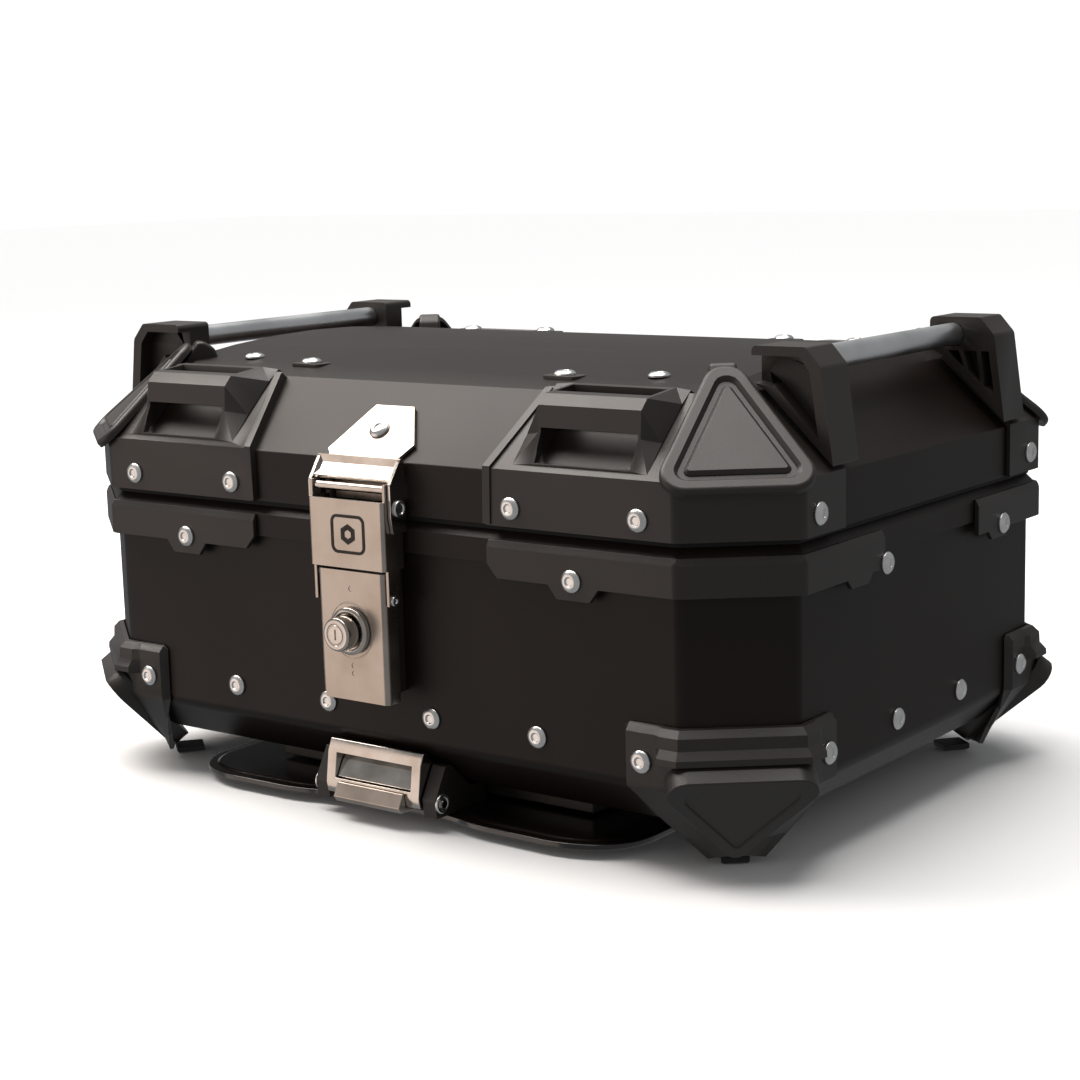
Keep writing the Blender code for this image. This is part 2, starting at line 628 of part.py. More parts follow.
def base():
    """Quick-release parts under the tub: clamp plate inside, adapter outside, and the rack plate."""
    box("clamp_plate", (-80, -70, 22.4), (80, 70, 24.9), STEEL)
    adapter = [(-118, -10), (-105, -118), (105, -118), (118, -10), (105, 98), (-105, 98)]
    prism("base_adapter", [(x, y, 10.0) for x, y in adapter], (0, 0, 9.6), PLASTIC)
    half = [(0, -151), (42, -151), (60, -157), (112, -158), (134, -150), (145, -132), (145, -90)]
    half += [(128, -60), (124, 60), (138, 90), (132, 120), (104, 134), (50, 128), (0, 128)]
    outline = half + [(-x, y) for x, y in half[-2:0:-1]]
    prism("mounting_plate", [(x, y, PLATE_Z0) for x, y in outline], (0, 0, PLATE_Z1 - PLATE_Z0), GLOSS)

    cheek = [(-122, 7.8), (-161, 7.8), (-162, 17), (-153, 33), (-148.5, 33), (-133.8, 18.6), (-122, 18.6)]
    housing = prism_x("release_housing", cheek, -40, 40, PLASTIC)
    combine(housing, box("release_gap", (-31.8, -170, 5), (31.8, -133, 40), PLASTIC), "DIFFERENCE")
    bore = turned("release_bore", [(2.6, -50), (2.6, 50)], RELEASE_PIVOT, (1, 0, 0), PLASTIC, segments=12)
    combine(housing, bore, "DIFFERENCE")
    turned("release_pin", [(2.3, -42), (2.3, 42)], RELEASE_PIVOT, (1, 0, 0), STEEL, segments=12)
    side = [(-149, 12), (-163, 12), (-164, 17), (-161.5, 34), (-159, 39.5), (-156.4, 39.5), (-150, 33)]
    lever = prism_x("release_lever", side, -31, 31, STEEL, RELEASE_PIVOT)
    combine(lever, box("lever_pocket", (-25, -170, 20), (25, -140, 33), STEEL), "DIFFERENCE")
    hole = turned("lever_hole", [(2.6, -50), (2.6, 50)], RELEASE_PIVOT, (1, 0, 0), STEEL, segments=12)
    combine(lever, hole, "DIFFERENCE")
    grip = [(-155, 9.2), (-167, 9.2), (-169, 12), (-165.5, 19), (-164.5, 19), (-163.3, 11.7), (-155, 11.7)]
    prism_x("release_grip", grip, -22, 22, STEEL, RELEASE_PIVOT)


def rim_and_seal():
    channel = [(-3.0, 141), (-3.0, 152.5), (0.5, RIM_TOP_Z), (4.5, RIM_TOP_Z), (4.5, 143), (2.3, 143)]
    channel += [(2.3, TUB_TOP_Z + GAP), (-GAP, TUB_TOP_Z + GAP), (-GAP, 141)]
    swept_ring("rim_frame", channel, PAINT)
    seal = [(-0.5, 156.8), (-0.5, 160.5), (1.5, 162.5), (3.5, 160.5), (3.5, 156.8)]
    swept_ring("lid_seal", seal, RUBBER)


def main():
    clear_scene()
    body_shell()
    rim_and_seal()
    rim_trims()
    corner_guards()
    lid_shell()
    corner_covers()
    corner_pads()
    rail_brackets()
    hand_rails()
    rivets()
    hinge()
    keeper()
    latch()
    base()


main()
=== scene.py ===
# Motorcycle top case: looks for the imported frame.
import json
import math

import bmesh
import bpy
from mathutils import Matrix, Vector


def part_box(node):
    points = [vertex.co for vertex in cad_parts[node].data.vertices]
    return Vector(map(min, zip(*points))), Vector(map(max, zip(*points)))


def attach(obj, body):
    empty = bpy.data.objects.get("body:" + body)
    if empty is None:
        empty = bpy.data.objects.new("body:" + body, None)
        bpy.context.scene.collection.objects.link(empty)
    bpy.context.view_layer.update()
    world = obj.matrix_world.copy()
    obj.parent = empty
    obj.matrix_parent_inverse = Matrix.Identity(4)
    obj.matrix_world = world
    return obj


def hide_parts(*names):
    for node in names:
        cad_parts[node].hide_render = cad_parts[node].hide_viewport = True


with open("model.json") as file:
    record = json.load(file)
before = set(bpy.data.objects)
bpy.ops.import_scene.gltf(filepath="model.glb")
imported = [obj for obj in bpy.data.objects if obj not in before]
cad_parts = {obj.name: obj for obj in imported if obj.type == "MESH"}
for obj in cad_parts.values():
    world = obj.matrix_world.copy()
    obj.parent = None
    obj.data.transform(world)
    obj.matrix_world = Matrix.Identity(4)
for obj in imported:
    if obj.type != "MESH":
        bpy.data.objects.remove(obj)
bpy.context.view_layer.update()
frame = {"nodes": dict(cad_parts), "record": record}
print("frame loaded:", len(frame["nodes"]), "nodes")

mm = 0.001
tubLow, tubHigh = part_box("body_shell")
tubMiddle = Vector(((tubLow.x + tubHigh.x) / 2, (tubLow.y + tubHigh.y) / 2, 0))
cornerSigns = {"front_left": (-1, -1), "front_right": (1, -1), "rear_left": (-1, 1), "rear_right": (1, 1)}


def at(x, y, z):
    # a place in millimetres from the tub's middle, as a point in the frame
    return tubMiddle + Vector((x, y, z)) * mm


def hold(piece):
    bpy.ops.object.select_all(action="DESELECT")
    piece.select_set(True)
    bpy.context.view_layer.objects.active = piece


def openMesh(piece, mode="FACE"):
    hold(piece)
    bpy.ops.object.mode_set(mode="EDIT")
    bpy.ops.mesh.select_mode(type=mode)
    bpy.ops.mesh.select_all(action="DESELECT")


def openWhole(piece):
    openMesh(piece)
    bpy.ops.mesh.select_all(action="SELECT")


def closeMesh():
    bpy.ops.object.mode_set(mode="OBJECT")


def pickFaces(piece, test):
    openMesh(piece)
    mesh = bmesh.from_edit_mesh(piece.data)
    for face in mesh.faces:
        face.select_set(test(face.calc_center_median(), face.normal, face.calc_area()))
    bmesh.update_edit_mesh(piece.data)


def pickBends(piece, lowest, highest, test=None):
    # edges whose faces meet at an angle in this range, in degrees
    openMesh(piece, "EDGE")
    mesh = bmesh.from_edit_mesh(piece.data)
    for edge in mesh.edges:
        angle = math.degrees(edge.calc_face_angle(0))
        middle = (edge.verts[0].co + edge.verts[1].co) / 2
        along = (edge.verts[1].co - edge.verts[0].co).normalized()
        edge.select_set(lowest < angle < highest and (test is None or test(middle, along)))
    bmesh.update_edit_mesh(piece.data)


def upright(middle, along):
    return abs(along.z) > 0.9


def crosswise(middle, along):
    return abs(along.x) > 0.9


def lengthwise(middle, along):
    return abs(along.y) > 0.9


def leaning(middle, along):
    return abs(along.z) > 0.5


def upTo(z):
    limit = at(0, 0, z).z
    return lambda middle, along: middle.z < limit


def above(z):
    limit = at(0, 0, z).z
    return lambda middle, along: middle.z > limit


def inFrontOf(y, facing):
    # edges that run one way and lie before this place
    limit = at(0, y, 0).y
    return lambda middle, along: facing(middle, along) and middle.y < limit


def standsOut(start, out, height):
    # edges further out from a face than this
    return lambda middle, along: (middle - start).dot(out) > height


def softenBends(piece, width, lowest=20, highest=75, segments=4, test=None):
    pickBends(piece, lowest, highest, test)
    bpy.ops.mesh.bevel(offset=width * mm, segments=segments, affect="EDGES", clamp_overlap=True)
    closeMesh()


def applyLast(piece, modifier):
    hold(piece)
    bpy.ops.object.modifier_apply(modifier=modifier.name)


def roundEdges(piece, width, segments=2, angle=28):
    edge = piece.modifiers.new("roundEdges", "BEVEL")
    edge.width = width * mm
    edge.segments = segments
    edge.limit_method = "ANGLE"
    edge.angle_limit = math.radians(angle)
    applyLast(piece, edge)
    evenOut(piece)


def evenOut(piece, angle=40):
    # smooth shading that leaves the flat faces flat
    hold(piece)
    bpy.ops.object.shade_smooth_by_angle(angle=math.radians(angle))
    even = piece.modifiers.new("evenOut", "WEIGHTED_NORMAL")
    even.keep_sharp = True
    applyLast(piece, even)


def combine(piece, other, operation="DIFFERENCE"):
    step = piece.modifiers.new("combine", "BOOLEAN")
    step.operation = operation
    step.solver = "EXACT"
    step.object = other
    applyLast(piece, step)
    bpy.data.objects.remove(other)


def tidyMesh(piece, flat=1.0):
    openWhole(piece)
    bpy.ops.mesh.remove_doubles(threshold=0.00002)
    bpy.ops.mesh.dissolve_limited(angle_limit=math.radians(flat))
    closeMesh()


def addObject(name, data):
    thing = bpy.data.objects.new(name, data)
    bpy.context.scene.collection.objects.link(thing)
    return thing


def takeCad(nodeName, pieceName):
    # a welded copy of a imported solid, to be shaped further
    mesh = frame["nodes"][nodeName].data.copy()
    mesh.materials.clear()
    piece = addObject(pieceName, mesh)
    hold(piece)
    if mesh.has_custom_normals:
        bpy.ops.mesh.customdata_custom_splitnormals_clear()
    tidyMesh(piece)
    return piece


def newPrimitive(name, add, **sizes):
    # a primitive, added with nothing else selected
    bpy.ops.object.select_all(action="DESELECT")
    add(**sizes)
    piece = bpy.context.active_object
    piece.name = name
    return piece


def bakePlace(piece):
    hold(piece)
    bpy.ops.object.transform_apply(location=True, rotation=True, scale=True)
    return piece


def block(name, low, high):
    # a cuboid between two places
    low, high = Vector(low), Vector(high)
    size = [abs(b - a) for a, b in zip(low, high)]
    add = bpy.ops.mesh.primitive_cube_add
    return bakePlace(newPrimitive(name, add, size=1, location=(low + high) / 2, scale=size))


def plate(name, outline, along):
    # a flat outline of places, pulled along a vector
    add = bpy.ops.mesh.primitive_circle_add
    piece = newPrimitive(name, add, vertices=len(outline), fill_type="NGON")
    for vertex, place in zip(piece.data.vertices, outline):
        vertex.co = place
    openWhole(piece)
    bpy.ops.mesh.extrude_region_move(TRANSFORM_OT_translate={"value": along})
    bpy.ops.mesh.select_all(action="SELECT")
    bpy.ops.mesh.normals_make_consistent(inside=False)
    closeMesh()
    return piece


def turned(name, place, axis, radius, height, rings=(), sides=24):
    # a cylinder from a place along an axis, its end stepped by insets of (inwards, outwards) millimetres
    add = bpy.ops.mesh.primitive_cylinder_add
    piece = newPrimitive(name, add, vertices=sides, radius=radius * mm, depth=height * mm)
    pickFaces(piece, lambda centre, normal, area: normal.z > 0.9)
    for inwards, outwards in rings:
        bpy.ops.mesh.inset(thickness=inwards * mm, depth=outwards * mm)
    closeMesh()
    turn = Vector(axis).to_track_quat("Z", "Y").to_matrix().to_4x4()
    piece.data.transform(Matrix.Translation(place) @ turn @ Matrix.Translation((0, 0, height * mm / 2)))
    return piece


def moved(piece, name, matrix):
    # a copy with its own mesh
    copy = addObject(name, piece.data.copy())
    copy.data.transform(matrix)
    return copy


def mirrored(piece, name, sideways, lengthways):
    # a copy mirrored about the tub's middle where a sign is -1
    shift = Matrix.Translation(tubMiddle)
    flip = Matrix.Diagonal((sideways, lengthways, 1, 1))
    copy = moved(piece, name, shift @ flip @ shift.inverted())
    if sideways * lengthways < 0:
        copy.data.flip_normals()
    return copy


def settle(piece, body, finish, *nodes):
    # the finished piece gets its finish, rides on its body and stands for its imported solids
    piece.data.materials.clear()
    piece.data.materials.append(finish)
    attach(piece, body)
    if nodes:
        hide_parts(*nodes)
    return piece


def camel(nodeName):
    first, *rest = nodeName.split("_")
    return first + "".join(word.capitalize() for word in rest)


def finishCad(nodeName, body, finish, edge, bend=()):
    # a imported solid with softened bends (width, angles, segments, test) and rounded edges
    piece = takeCad(nodeName, camel(nodeName))
    if bend:
        softenBends(piece, *bend)
    roundEdges(piece, *edge)
    settle(piece, body, finish, nodeName)


def atCorners(piece, pieceName, nodeName, body):
    # the front right piece, mirrored to every corner
    for tag, (sx, sy) in cornerSigns.items():
        copy = mirrored(piece, pieceName + "_" + tag, sx, -sy)
        settle(copy, body, mouldedPlastic, *([nodeName + "_" + tag] if nodeName else []))
    bpy.data.objects.remove(piece)


def newGroup(name, inputs, outputs):
    group = bpy.data.node_groups.new(name, "ShaderNodeTree")
    for label, value in inputs:
        socket = group.interface.new_socket(name=label, in_out="INPUT", socket_type="NodeSocketFloat")
        socket.default_value = value
    for label, kind in outputs:
        group.interface.new_socket(name=label, in_out="OUTPUT", socket_type=kind)
    return group, group.nodes.new("NodeGroupInput"), group.nodes.new("NodeGroupOutput")


def addNode(tree, kind, links, **values):
    # links is (socket, source) pairs, where a source is a socket or a fixed value
    node = tree.nodes.new(kind)
    for label, value in values.items():
        setattr(node, label, value)
    for socket, source in links:
        if isinstance(source, bpy.types.NodeSocket):
            tree.links.new(source, node.inputs[socket])
        else:
            node.inputs[socket].default_value = source
    return node


def addNoise(tree, place, scale, detail):
    # noise that is fixed to the piece
    links = [("Vector", place.outputs["Object"]), ("Scale", scale), ("Detail", detail)]
    return addNode(tree, "ShaderNodeTexNoise", links)


def placeGroup(tree, group, **values):
    node = tree.nodes.new("ShaderNodeGroup")
    node.node_tree = group
    for label, value in values.items():
        node.inputs[label.replace("_", " ")].default_value = value
    return node


def blendColour(tree, mask, low, high):
    mix = tree.nodes.new("ShaderNodeMix")
    mix.data_type = "RGBA"
    tree.links.new(mask, mix.inputs["Factor"])
    for socket, value in ((mix.inputs[6], low), (mix.inputs[7], high)):
        if isinstance(value, bpy.types.NodeSocket):
            tree.links.new(value, socket)
        else:
            socket.default_value = (*value, 1)
    return mix.outputs[2]


def spanned(tree, source, low, high, fromLow=0.35, fromHigh=0.65):
    links = [
        ("Value", source), ("From Min", fromLow), ("From Max", fromHigh),
        ("To Min", low), ("To Max", high),
    ]
    return addNode(tree, "ShaderNodeMapRange", links).outputs["Result"]


def makeGrain():
    # pebbled skin of a coating or a moulding, and a slow cloudiness in its tone
    group, given, out = newGroup(
        "grainSkin",
        [("Scale", 900.0), ("Cloud Scale", 9.0)],
        [("Height", "NodeSocketFloat"), ("Cloud", "NodeSocketFloat")],
    )
    place = addNode(group, "ShaderNodeTexCoord", [])
    fine = addNoise(group, place, given.outputs["Scale"], 3.0)
    cloud = addNoise(group, place, given.outputs["Cloud Scale"], 4.0)
    group.links.new(fine.outputs["Fac"], out.inputs["Height"])
    group.links.new(cloud.outputs["Fac"], out.inputs["Cloud"])
    return group


def makeRub():
    # where hands and straps rub the edges: the rounded normal parts from the true one there
    group, given, out = newGroup(
        "edgeRub",
        [("Radius", 0.0012), ("Breakup", 60.0), ("Amount", 0.5)],
        [("Mask", "NodeSocketFloat")],
    )
    place = addNode(group, "ShaderNodeTexCoord", [])
    soft = addNode(group, "ShaderNodeBevel", [("Radius", given.outputs["Radius"])], samples=4)
    true = addNode(group, "ShaderNodeNewGeometry", [])
    normals = [(0, soft.outputs["Normal"]), (1, true.outputs["Normal"])]
    match = addNode(group, "ShaderNodeVectorMath", normals, operation="DOT_PRODUCT")
    spread = spanned(group, match.outputs["Value"], 0.0, 1.0, 0.995, 0.85)
    worn = addNoise(group, place, given.outputs["Breakup"], 5.0)
    patch = spanned(group, worn.outputs["Fac"], 0.0, 1.0, 0.42, 0.66)
    both = addNode(group, "ShaderNodeMath", [(0, spread), (1, patch)], operation="MULTIPLY")
    factors = [(0, both.outputs[0]), (1, given.outputs["Amount"])]
    mask = addNode(group, "ShaderNodeMath", factors, operation="MULTIPLY")
    group.links.new(mask.outputs[0], out.inputs["Mask"])
    return group


def makeBrush():
    # fine parallel scratches of a brushed sheet, and smudges over them
    group, given, out = newGroup(
        "brushMarks",
        [("Across", 2400.0), ("Along", 40.0), ("Smudge Scale", 45.0)],
        [("Height", "NodeSocketFloat"), ("Smudge", "NodeSocketFloat")],
    )
    place = addNode(group, "ShaderNodeTexCoord", [])
    size = addNode(
        group, "ShaderNodeCombineXYZ",
        [("X", given.outputs["Across"]), ("Y", given.outputs["Across"]), ("Z", given.outputs["Along"])],
    )
    links = [("Vector", place.outputs["Object"]), ("Scale", size.outputs[0])]
    stretch = addNode(group, "ShaderNodeMapping", links)
    links = [("Vector", stretch.outputs[0]), ("Scale", 1.0), ("Detail", 2.0)]
    lines = addNode(group, "ShaderNodeTexNoise", links)
    smudge = addNoise(group, place, given.outputs["Smudge Scale"], 3.0)
    group.links.new(lines.outputs["Fac"], out.inputs["Height"])
    group.links.new(smudge.outputs["Fac"], out.inputs["Smudge"])
    return group


grainSkin = makeGrain()
edgeRub = makeRub()
brushMarks = makeBrush()


def newFinish(name):
    finish = bpy.data.materials.new(name)
    finish.use_nodes = True
    return finish, finish.node_tree, finish.node_tree.nodes["Principled BSDF"]


def dress(tree, shader, look, patches, rub, worn, height, depth):
    # tone and roughness drift with the patches, the rubbed edges are paler, and the skin has its relief
    tone = blendColour(tree, spanned(tree, patches, 0.0, 1.0), look["dark"], look["light"])
    tone = blendColour(tree, rub.outputs["Mask"], tone, worn)
    tree.links.new(tone, shader.inputs["Base Color"])
    tree.links.new(spanned(tree, patches, *look["roughness"]), shader.inputs["Roughness"])
    links = [("Height", height), ("Strength", look["bump"]), ("Distance", depth)]
    bump = addNode(tree, "ShaderNodeBump", links)
    tree.links.new(bump.outputs[0], shader.inputs["Normal"])


def coated(name, look):
    # a dyed skin over metal or plastic: pebbled, a little cloudy, rubbed at its edges
    finish, tree, shader = newFinish(name)
    grain = placeGroup(tree, grainSkin, Scale=look["grain"], Cloud_Scale=look["cloud"])
    rub = placeGroup(tree, edgeRub, Radius=look["edge"], Breakup=look["breakup"], Amount=look["rub"])
    cloud, height = grain.outputs["Cloud"], grain.outputs["Height"]
    dress(tree, shader, look, cloud, rub, look["rubbed"], height, look["depth"])
    shader.inputs["Specular IOR Level"].default_value = look["sheen"]
    shader.inputs["Metallic"].default_value = look.get("metal", 0.0)
    shader.inputs["Coat Weight"].default_value = look.get("coat", 0.0)
    shader.inputs["Coat Roughness"].default_value = 0.08
    return finish


def bareMetal(name, look):
    # bare metal with brush marks and smudges
    finish, tree, shader = newFinish(name)
    brush = placeGroup(
        tree, brushMarks,
        Across=look["across"], Along=look["along"], Smudge_Scale=look["smudge"],
    )
    rub = placeGroup(tree, edgeRub, Radius=look["edge"], Breakup=90.0, Amount=0.8)
    smudge, height = brush.outputs["Smudge"], brush.outputs["Height"]
    dress(tree, shader, look, smudge, rub, look["bright"], height, 0.00002)
    shader.inputs["Metallic"].default_value = 1.0
    return finish


powderCoat = coated("powderCoat", {
    "dark": (0.0098, 0.0060, 0.0045), "light": (0.0125, 0.0080, 0.0062), "rubbed": (0.042, 0.035, 0.030),
    "grain": 1500.0, "cloud": 7.0, "edge": 0.0012, "breakup": 45.0, "rub": 0.35,
    "roughness": (0.40, 0.46), "bump": 0.22, "depth": 0.00025, "sheen": 0.23,
})
mouldedPlastic = coated("mouldedPlastic", {
    "dark": (0.0190, 0.0148, 0.0125), "light": (0.0240, 0.0188, 0.0160), "rubbed": (0.060, 0.052, 0.046),
    "grain": 2100.0, "cloud": 14.0, "edge": 0.001, "breakup": 70.0, "rub": 0.5,
    "roughness": (0.40, 0.47), "bump": 0.30, "depth": 0.0002, "sheen": 0.48,
})
softRubber = coated("softRubber", {
    "dark": (0.008, 0.008, 0.008), "light": (0.012, 0.012, 0.012), "rubbed": (0.03, 0.03, 0.03),
    "grain": 1300.0, "cloud": 20.0, "edge": 0.0008, "breakup": 90.0, "rub": 0.4,
    "roughness": (0.65, 0.78), "bump": 0.35, "depth": 0.0003, "sheen": 0.3,
})
glossCoat = coated("glossCoat", {
    "dark": (0.0065, 0.0045, 0.0036), "light": (0.0095, 0.0068, 0.0055), "rubbed": (0.06, 0.05, 0.045),
    "grain": 700.0, "cloud": 12.0, "edge": 0.0008, "breakup": 60.0, "rub": 0.5,
    "roughness": (0.16, 0.26), "bump": 0.06, "depth": 0.0003, "sheen": 0.5, "coat": 0.5,
})
blackZinc = coated("blackZinc", {
    "dark": (0.020, 0.019, 0.018), "light": (0.034, 0.032, 0.030), "rubbed": (0.20, 0.19, 0.18),
    "grain": 1200.0, "cloud": 30.0, "edge": 0.0006, "breakup": 120.0, "rub": 0.6,
    "roughness": (0.30, 0.42), "bump": 0.12, "depth": 0.0002, "sheen": 0.5, "metal": 0.7,
})
brushedSteel = bareMetal("brushedSteel", {
    "dark": (0.38, 0.33, 0.285), "light": (0.51, 0.45, 0.40), "bright": (0.74, 0.70, 0.65),
    "across": 2600.0, "along": 60.0, "smudge": 38.0, "edge": 0.0006, "roughness": (0.26, 0.36), "bump": 0.25,
})
polishedSteel = bareMetal("polishedSteel", {
    "dark": (0.46, 0.42, 0.38), "light": (0.62, 0.58, 0.54), "bright": (0.82, 0.79, 0.75),
    "across": 1200.0, "along": 300.0, "smudge": 60.0, "edge": 0.0006, "roughness": (0.10, 0.22), "bump": 0.08,
})
satinAluminium = bareMetal("satinAluminium", {
    "dark": (0.66, 0.665, 0.67), "light": (0.78, 0.785, 0.79), "bright": (0.88, 0.88, 0.89),
    "across": 1500.0, "along": 900.0, "smudge": 25.0, "edge": 0.0006, "roughness": (0.28, 0.36), "bump": 0.12,
})
rivetMetal = bareMetal("rivetMetal", {
    "dark": (0.66, 0.655, 0.65), "light": (0.82, 0.815, 0.81), "bright": (0.92, 0.92, 0.92),
    "across": 900.0, "along": 900.0, "smudge": 160.0, "edge": 0.0005, "roughness": (0.24, 0.34), "bump": 0.18,
})

slotOfFinish = {
    "powderCoat": "powder_coat", "mouldedPlastic": "black_plastic", "softRubber": "rubber",
    "glossCoat": "gloss_coat", "blackZinc": "dark_steel", "satinAluminium": "aluminium",
    "brushedSteel": "steel", "polishedSteel": "steel", "rivetMetal": "steel",
}
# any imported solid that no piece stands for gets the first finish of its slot
finishOfSlot = {}
for finishName, slotName in slotOfFinish.items():
    finishOfSlot.setdefault(slotName, bpy.data.materials[finishName])
for part in frame["record"]["subparts"]:
    node = frame["nodes"][part["node"]]
    node.data.materials.clear()
    node.data.materials.append(finishOfSlot[part["material_slot"]])
print("finishes made")


def splitHollows(piece):
    # faces that run round an opening are cut into simple ones
    openWhole(piece)
    bpy.ops.mesh.vert_connect_concave()
    closeMesh()
    return piece


def makeShells():
    sheet = {"bend": 3.6, "rimBend": 2.5, "topBend": 1.6, "topFrom": 219, "lip": 0.35, "sealLip": 0.6}
    tub = splitHollows(takeCad("body_shell", "tub"))
    softenBends(tub, sheet["bend"])
    roundEdges(tub, sheet["lip"], 1, 60)
    settle(tub, "case", powderCoat, "body_shell")
    rim = splitHollows(takeCad("rim_frame", "rimChannel"))
    softenBends(rim, sheet["rimBend"], test=leaning)
    roundEdges(rim, sheet["lip"], 2, 30)
    settle(rim, "case", powderCoat, "rim_frame")
    seal = splitHollows(takeCad("lid_seal", "lidSeal"))
    softenBends(seal, sheet["rimBend"], test=leaning)
    roundEdges(seal, sheet["sealLip"], 2, 30)
    settle(seal, "case", softRubber, "lid_seal")
    lid = takeCad("lid_shell", "lidShell")
    for sx, sy in cornerSigns.values():
        outline = scoopOutline(scoop["behind"] - 1, sx, sy, scoop["x0"] + 1)
        combine(lid, plate("scoopHole", outline, (sx * scoop["wide"] * mm, 0, 0)))
    tidyMesh(lid, 0.2)
    splitHollows(lid)
    softenBends(lid, sheet["bend"], 18, test=upTo(sheet["topFrom"]))
    softenBends(lid, sheet["topBend"], 14, 45, 3, above(sheet["topFrom"]))
    roundEdges(lid, sheet["lip"], 1, 60)
    settle(lid, "lid", powderCoat, "lid_shell")
    print("shells made")


# the hollow under each tie-down bar, in the cover and through the lid
scoop = {
    "x0": 103.0, "wide": 58.0, "radius": 19.0, "y": 150.5, "z": 208.0, "behind": 8.0,
    "low": (157.6, 186.0), "high": (126.5, 214.2),
}


def scoopOutline(behind, sx, sy, x0):
    # a slab under the lid's slope, seen from the side
    (lowY, lowZ), (highY, highZ) = scoop["low"], scoop["high"]
    places = [
        (lowY, lowZ), (highY, highZ), (highY - behind * 0.7, highZ - behind * 0.7),
        (lowY - behind * 0.9, lowZ - behind * 0.55),
    ]
    return [at(sx * x0, sy * y, z) for y, z in places]


def makeCovers():
    form = {
        "bowlEdge": 7.0, "bowlTop": 206.5, "cornerFrom": 178, "cornerBend": 2.6, "edge": 0.9,
        "ribX": 75.6, "ribWide": 4.4, "ribShift": 11.0, "ribProud": 1.3, "bend": 185.5, "slope": 34.5,
    }
    cover = takeCad("corner_cover_front_right", "coverBlank")
    outline = scoopOutline(scoop["behind"], 1, -1, scoop["x0"] - 2)
    combine(cover, plate("pocket", outline, ((scoop["wide"] + 4) * mm, 0, 0)), "UNION")
    # a bowl on its side, cut off under the bar, hollows the pocket out
    bowl = bakePlace(newPrimitive(
        "bowl", bpy.ops.mesh.primitive_cylinder_add,
        vertices=64, radius=scoop["radius"] * mm, depth=(scoop["wide"] - 3) * mm,
        rotation=(0, math.pi / 2, 0),
        location=at(scoop["x0"] + scoop["wide"] / 2, -scoop["y"], scoop["z"]),
    ))
    roundEdges(bowl, form["bowlEdge"], 5, 60)
    combine(bowl, block("bowlTrim", at(90, -170, 170), at(175, -100, form["bowlTop"])), "INTERSECT")
    combine(cover, bowl)
    # the raised bead along the cover's inner side leans outwards above the bend
    path = [(160.6, 160.2), (160.6, 187.0), (123.4, 221.2), (121.0, 219.6), (158.6, 185.4), (158.6, 160.2)]
    outline = []
    for number, (y, z) in enumerate(path):
        up = form["ribProud"] if number < 3 else 0.0
        outline.append(at(form["ribX"], -y - up * 0.75, z + up * (0.7 if z > 180 else 0.0)))
    bead = plate("bead", outline, (form["ribWide"] * mm, 0, 0))
    bendHeight, slopeHeight = at(0, 0, form["bend"]).z, form["slope"] * mm
    for vertex in bead.data.vertices:
        vertex.co.x += form["ribShift"] * mm * max(0.0, (vertex.co.z - bendHeight) / slopeHeight)
    combine(cover, bead, "UNION")
    tidyMesh(cover, 0.5)
    cornerFrom = at(form["cornerFrom"], 0, 0).x
    softenBends(
        cover, form["cornerBend"], 20, 62, 4,
        test=lambda middle, along: abs(along.z) > 0.5 and middle.x > cornerFrom,
    )
    roundEdges(cover, form["edge"], 3, 24)
    atCorners(cover, "lidCorner", "corner_cover", "lid")
    print("corner covers made")


def movedIn(corners, amount):
    # a triangle's corners, moved in from its sides
    found = []
    for i, spot in enumerate(corners):
        here = Vector(spot)
        before = (Vector(corners[i - 1]) - here).normalized()
        after = (Vector(corners[(i + 1) % len(corners)]) - here).normalized()
        found.append(here + (before + after).normalized() * amount / math.sin(before.angle(after) / 2))
    return found


def triangularRing(corners, outer, inner, radius, place, along):
    # a three-sided ring for cutting a groove
    rim = roundedOutline(movedIn(corners, outer), (radius,) * 3, 5)
    core = roundedOutline(movedIn(corners, inner), (radius * 0.6,) * 3, 5)
    ring = plate("grooveRing", [place(spot) for spot in rim], along)
    combine(ring, plate("grooveCore", [place(spot) - along for spot in core], along * 3))
    return ring


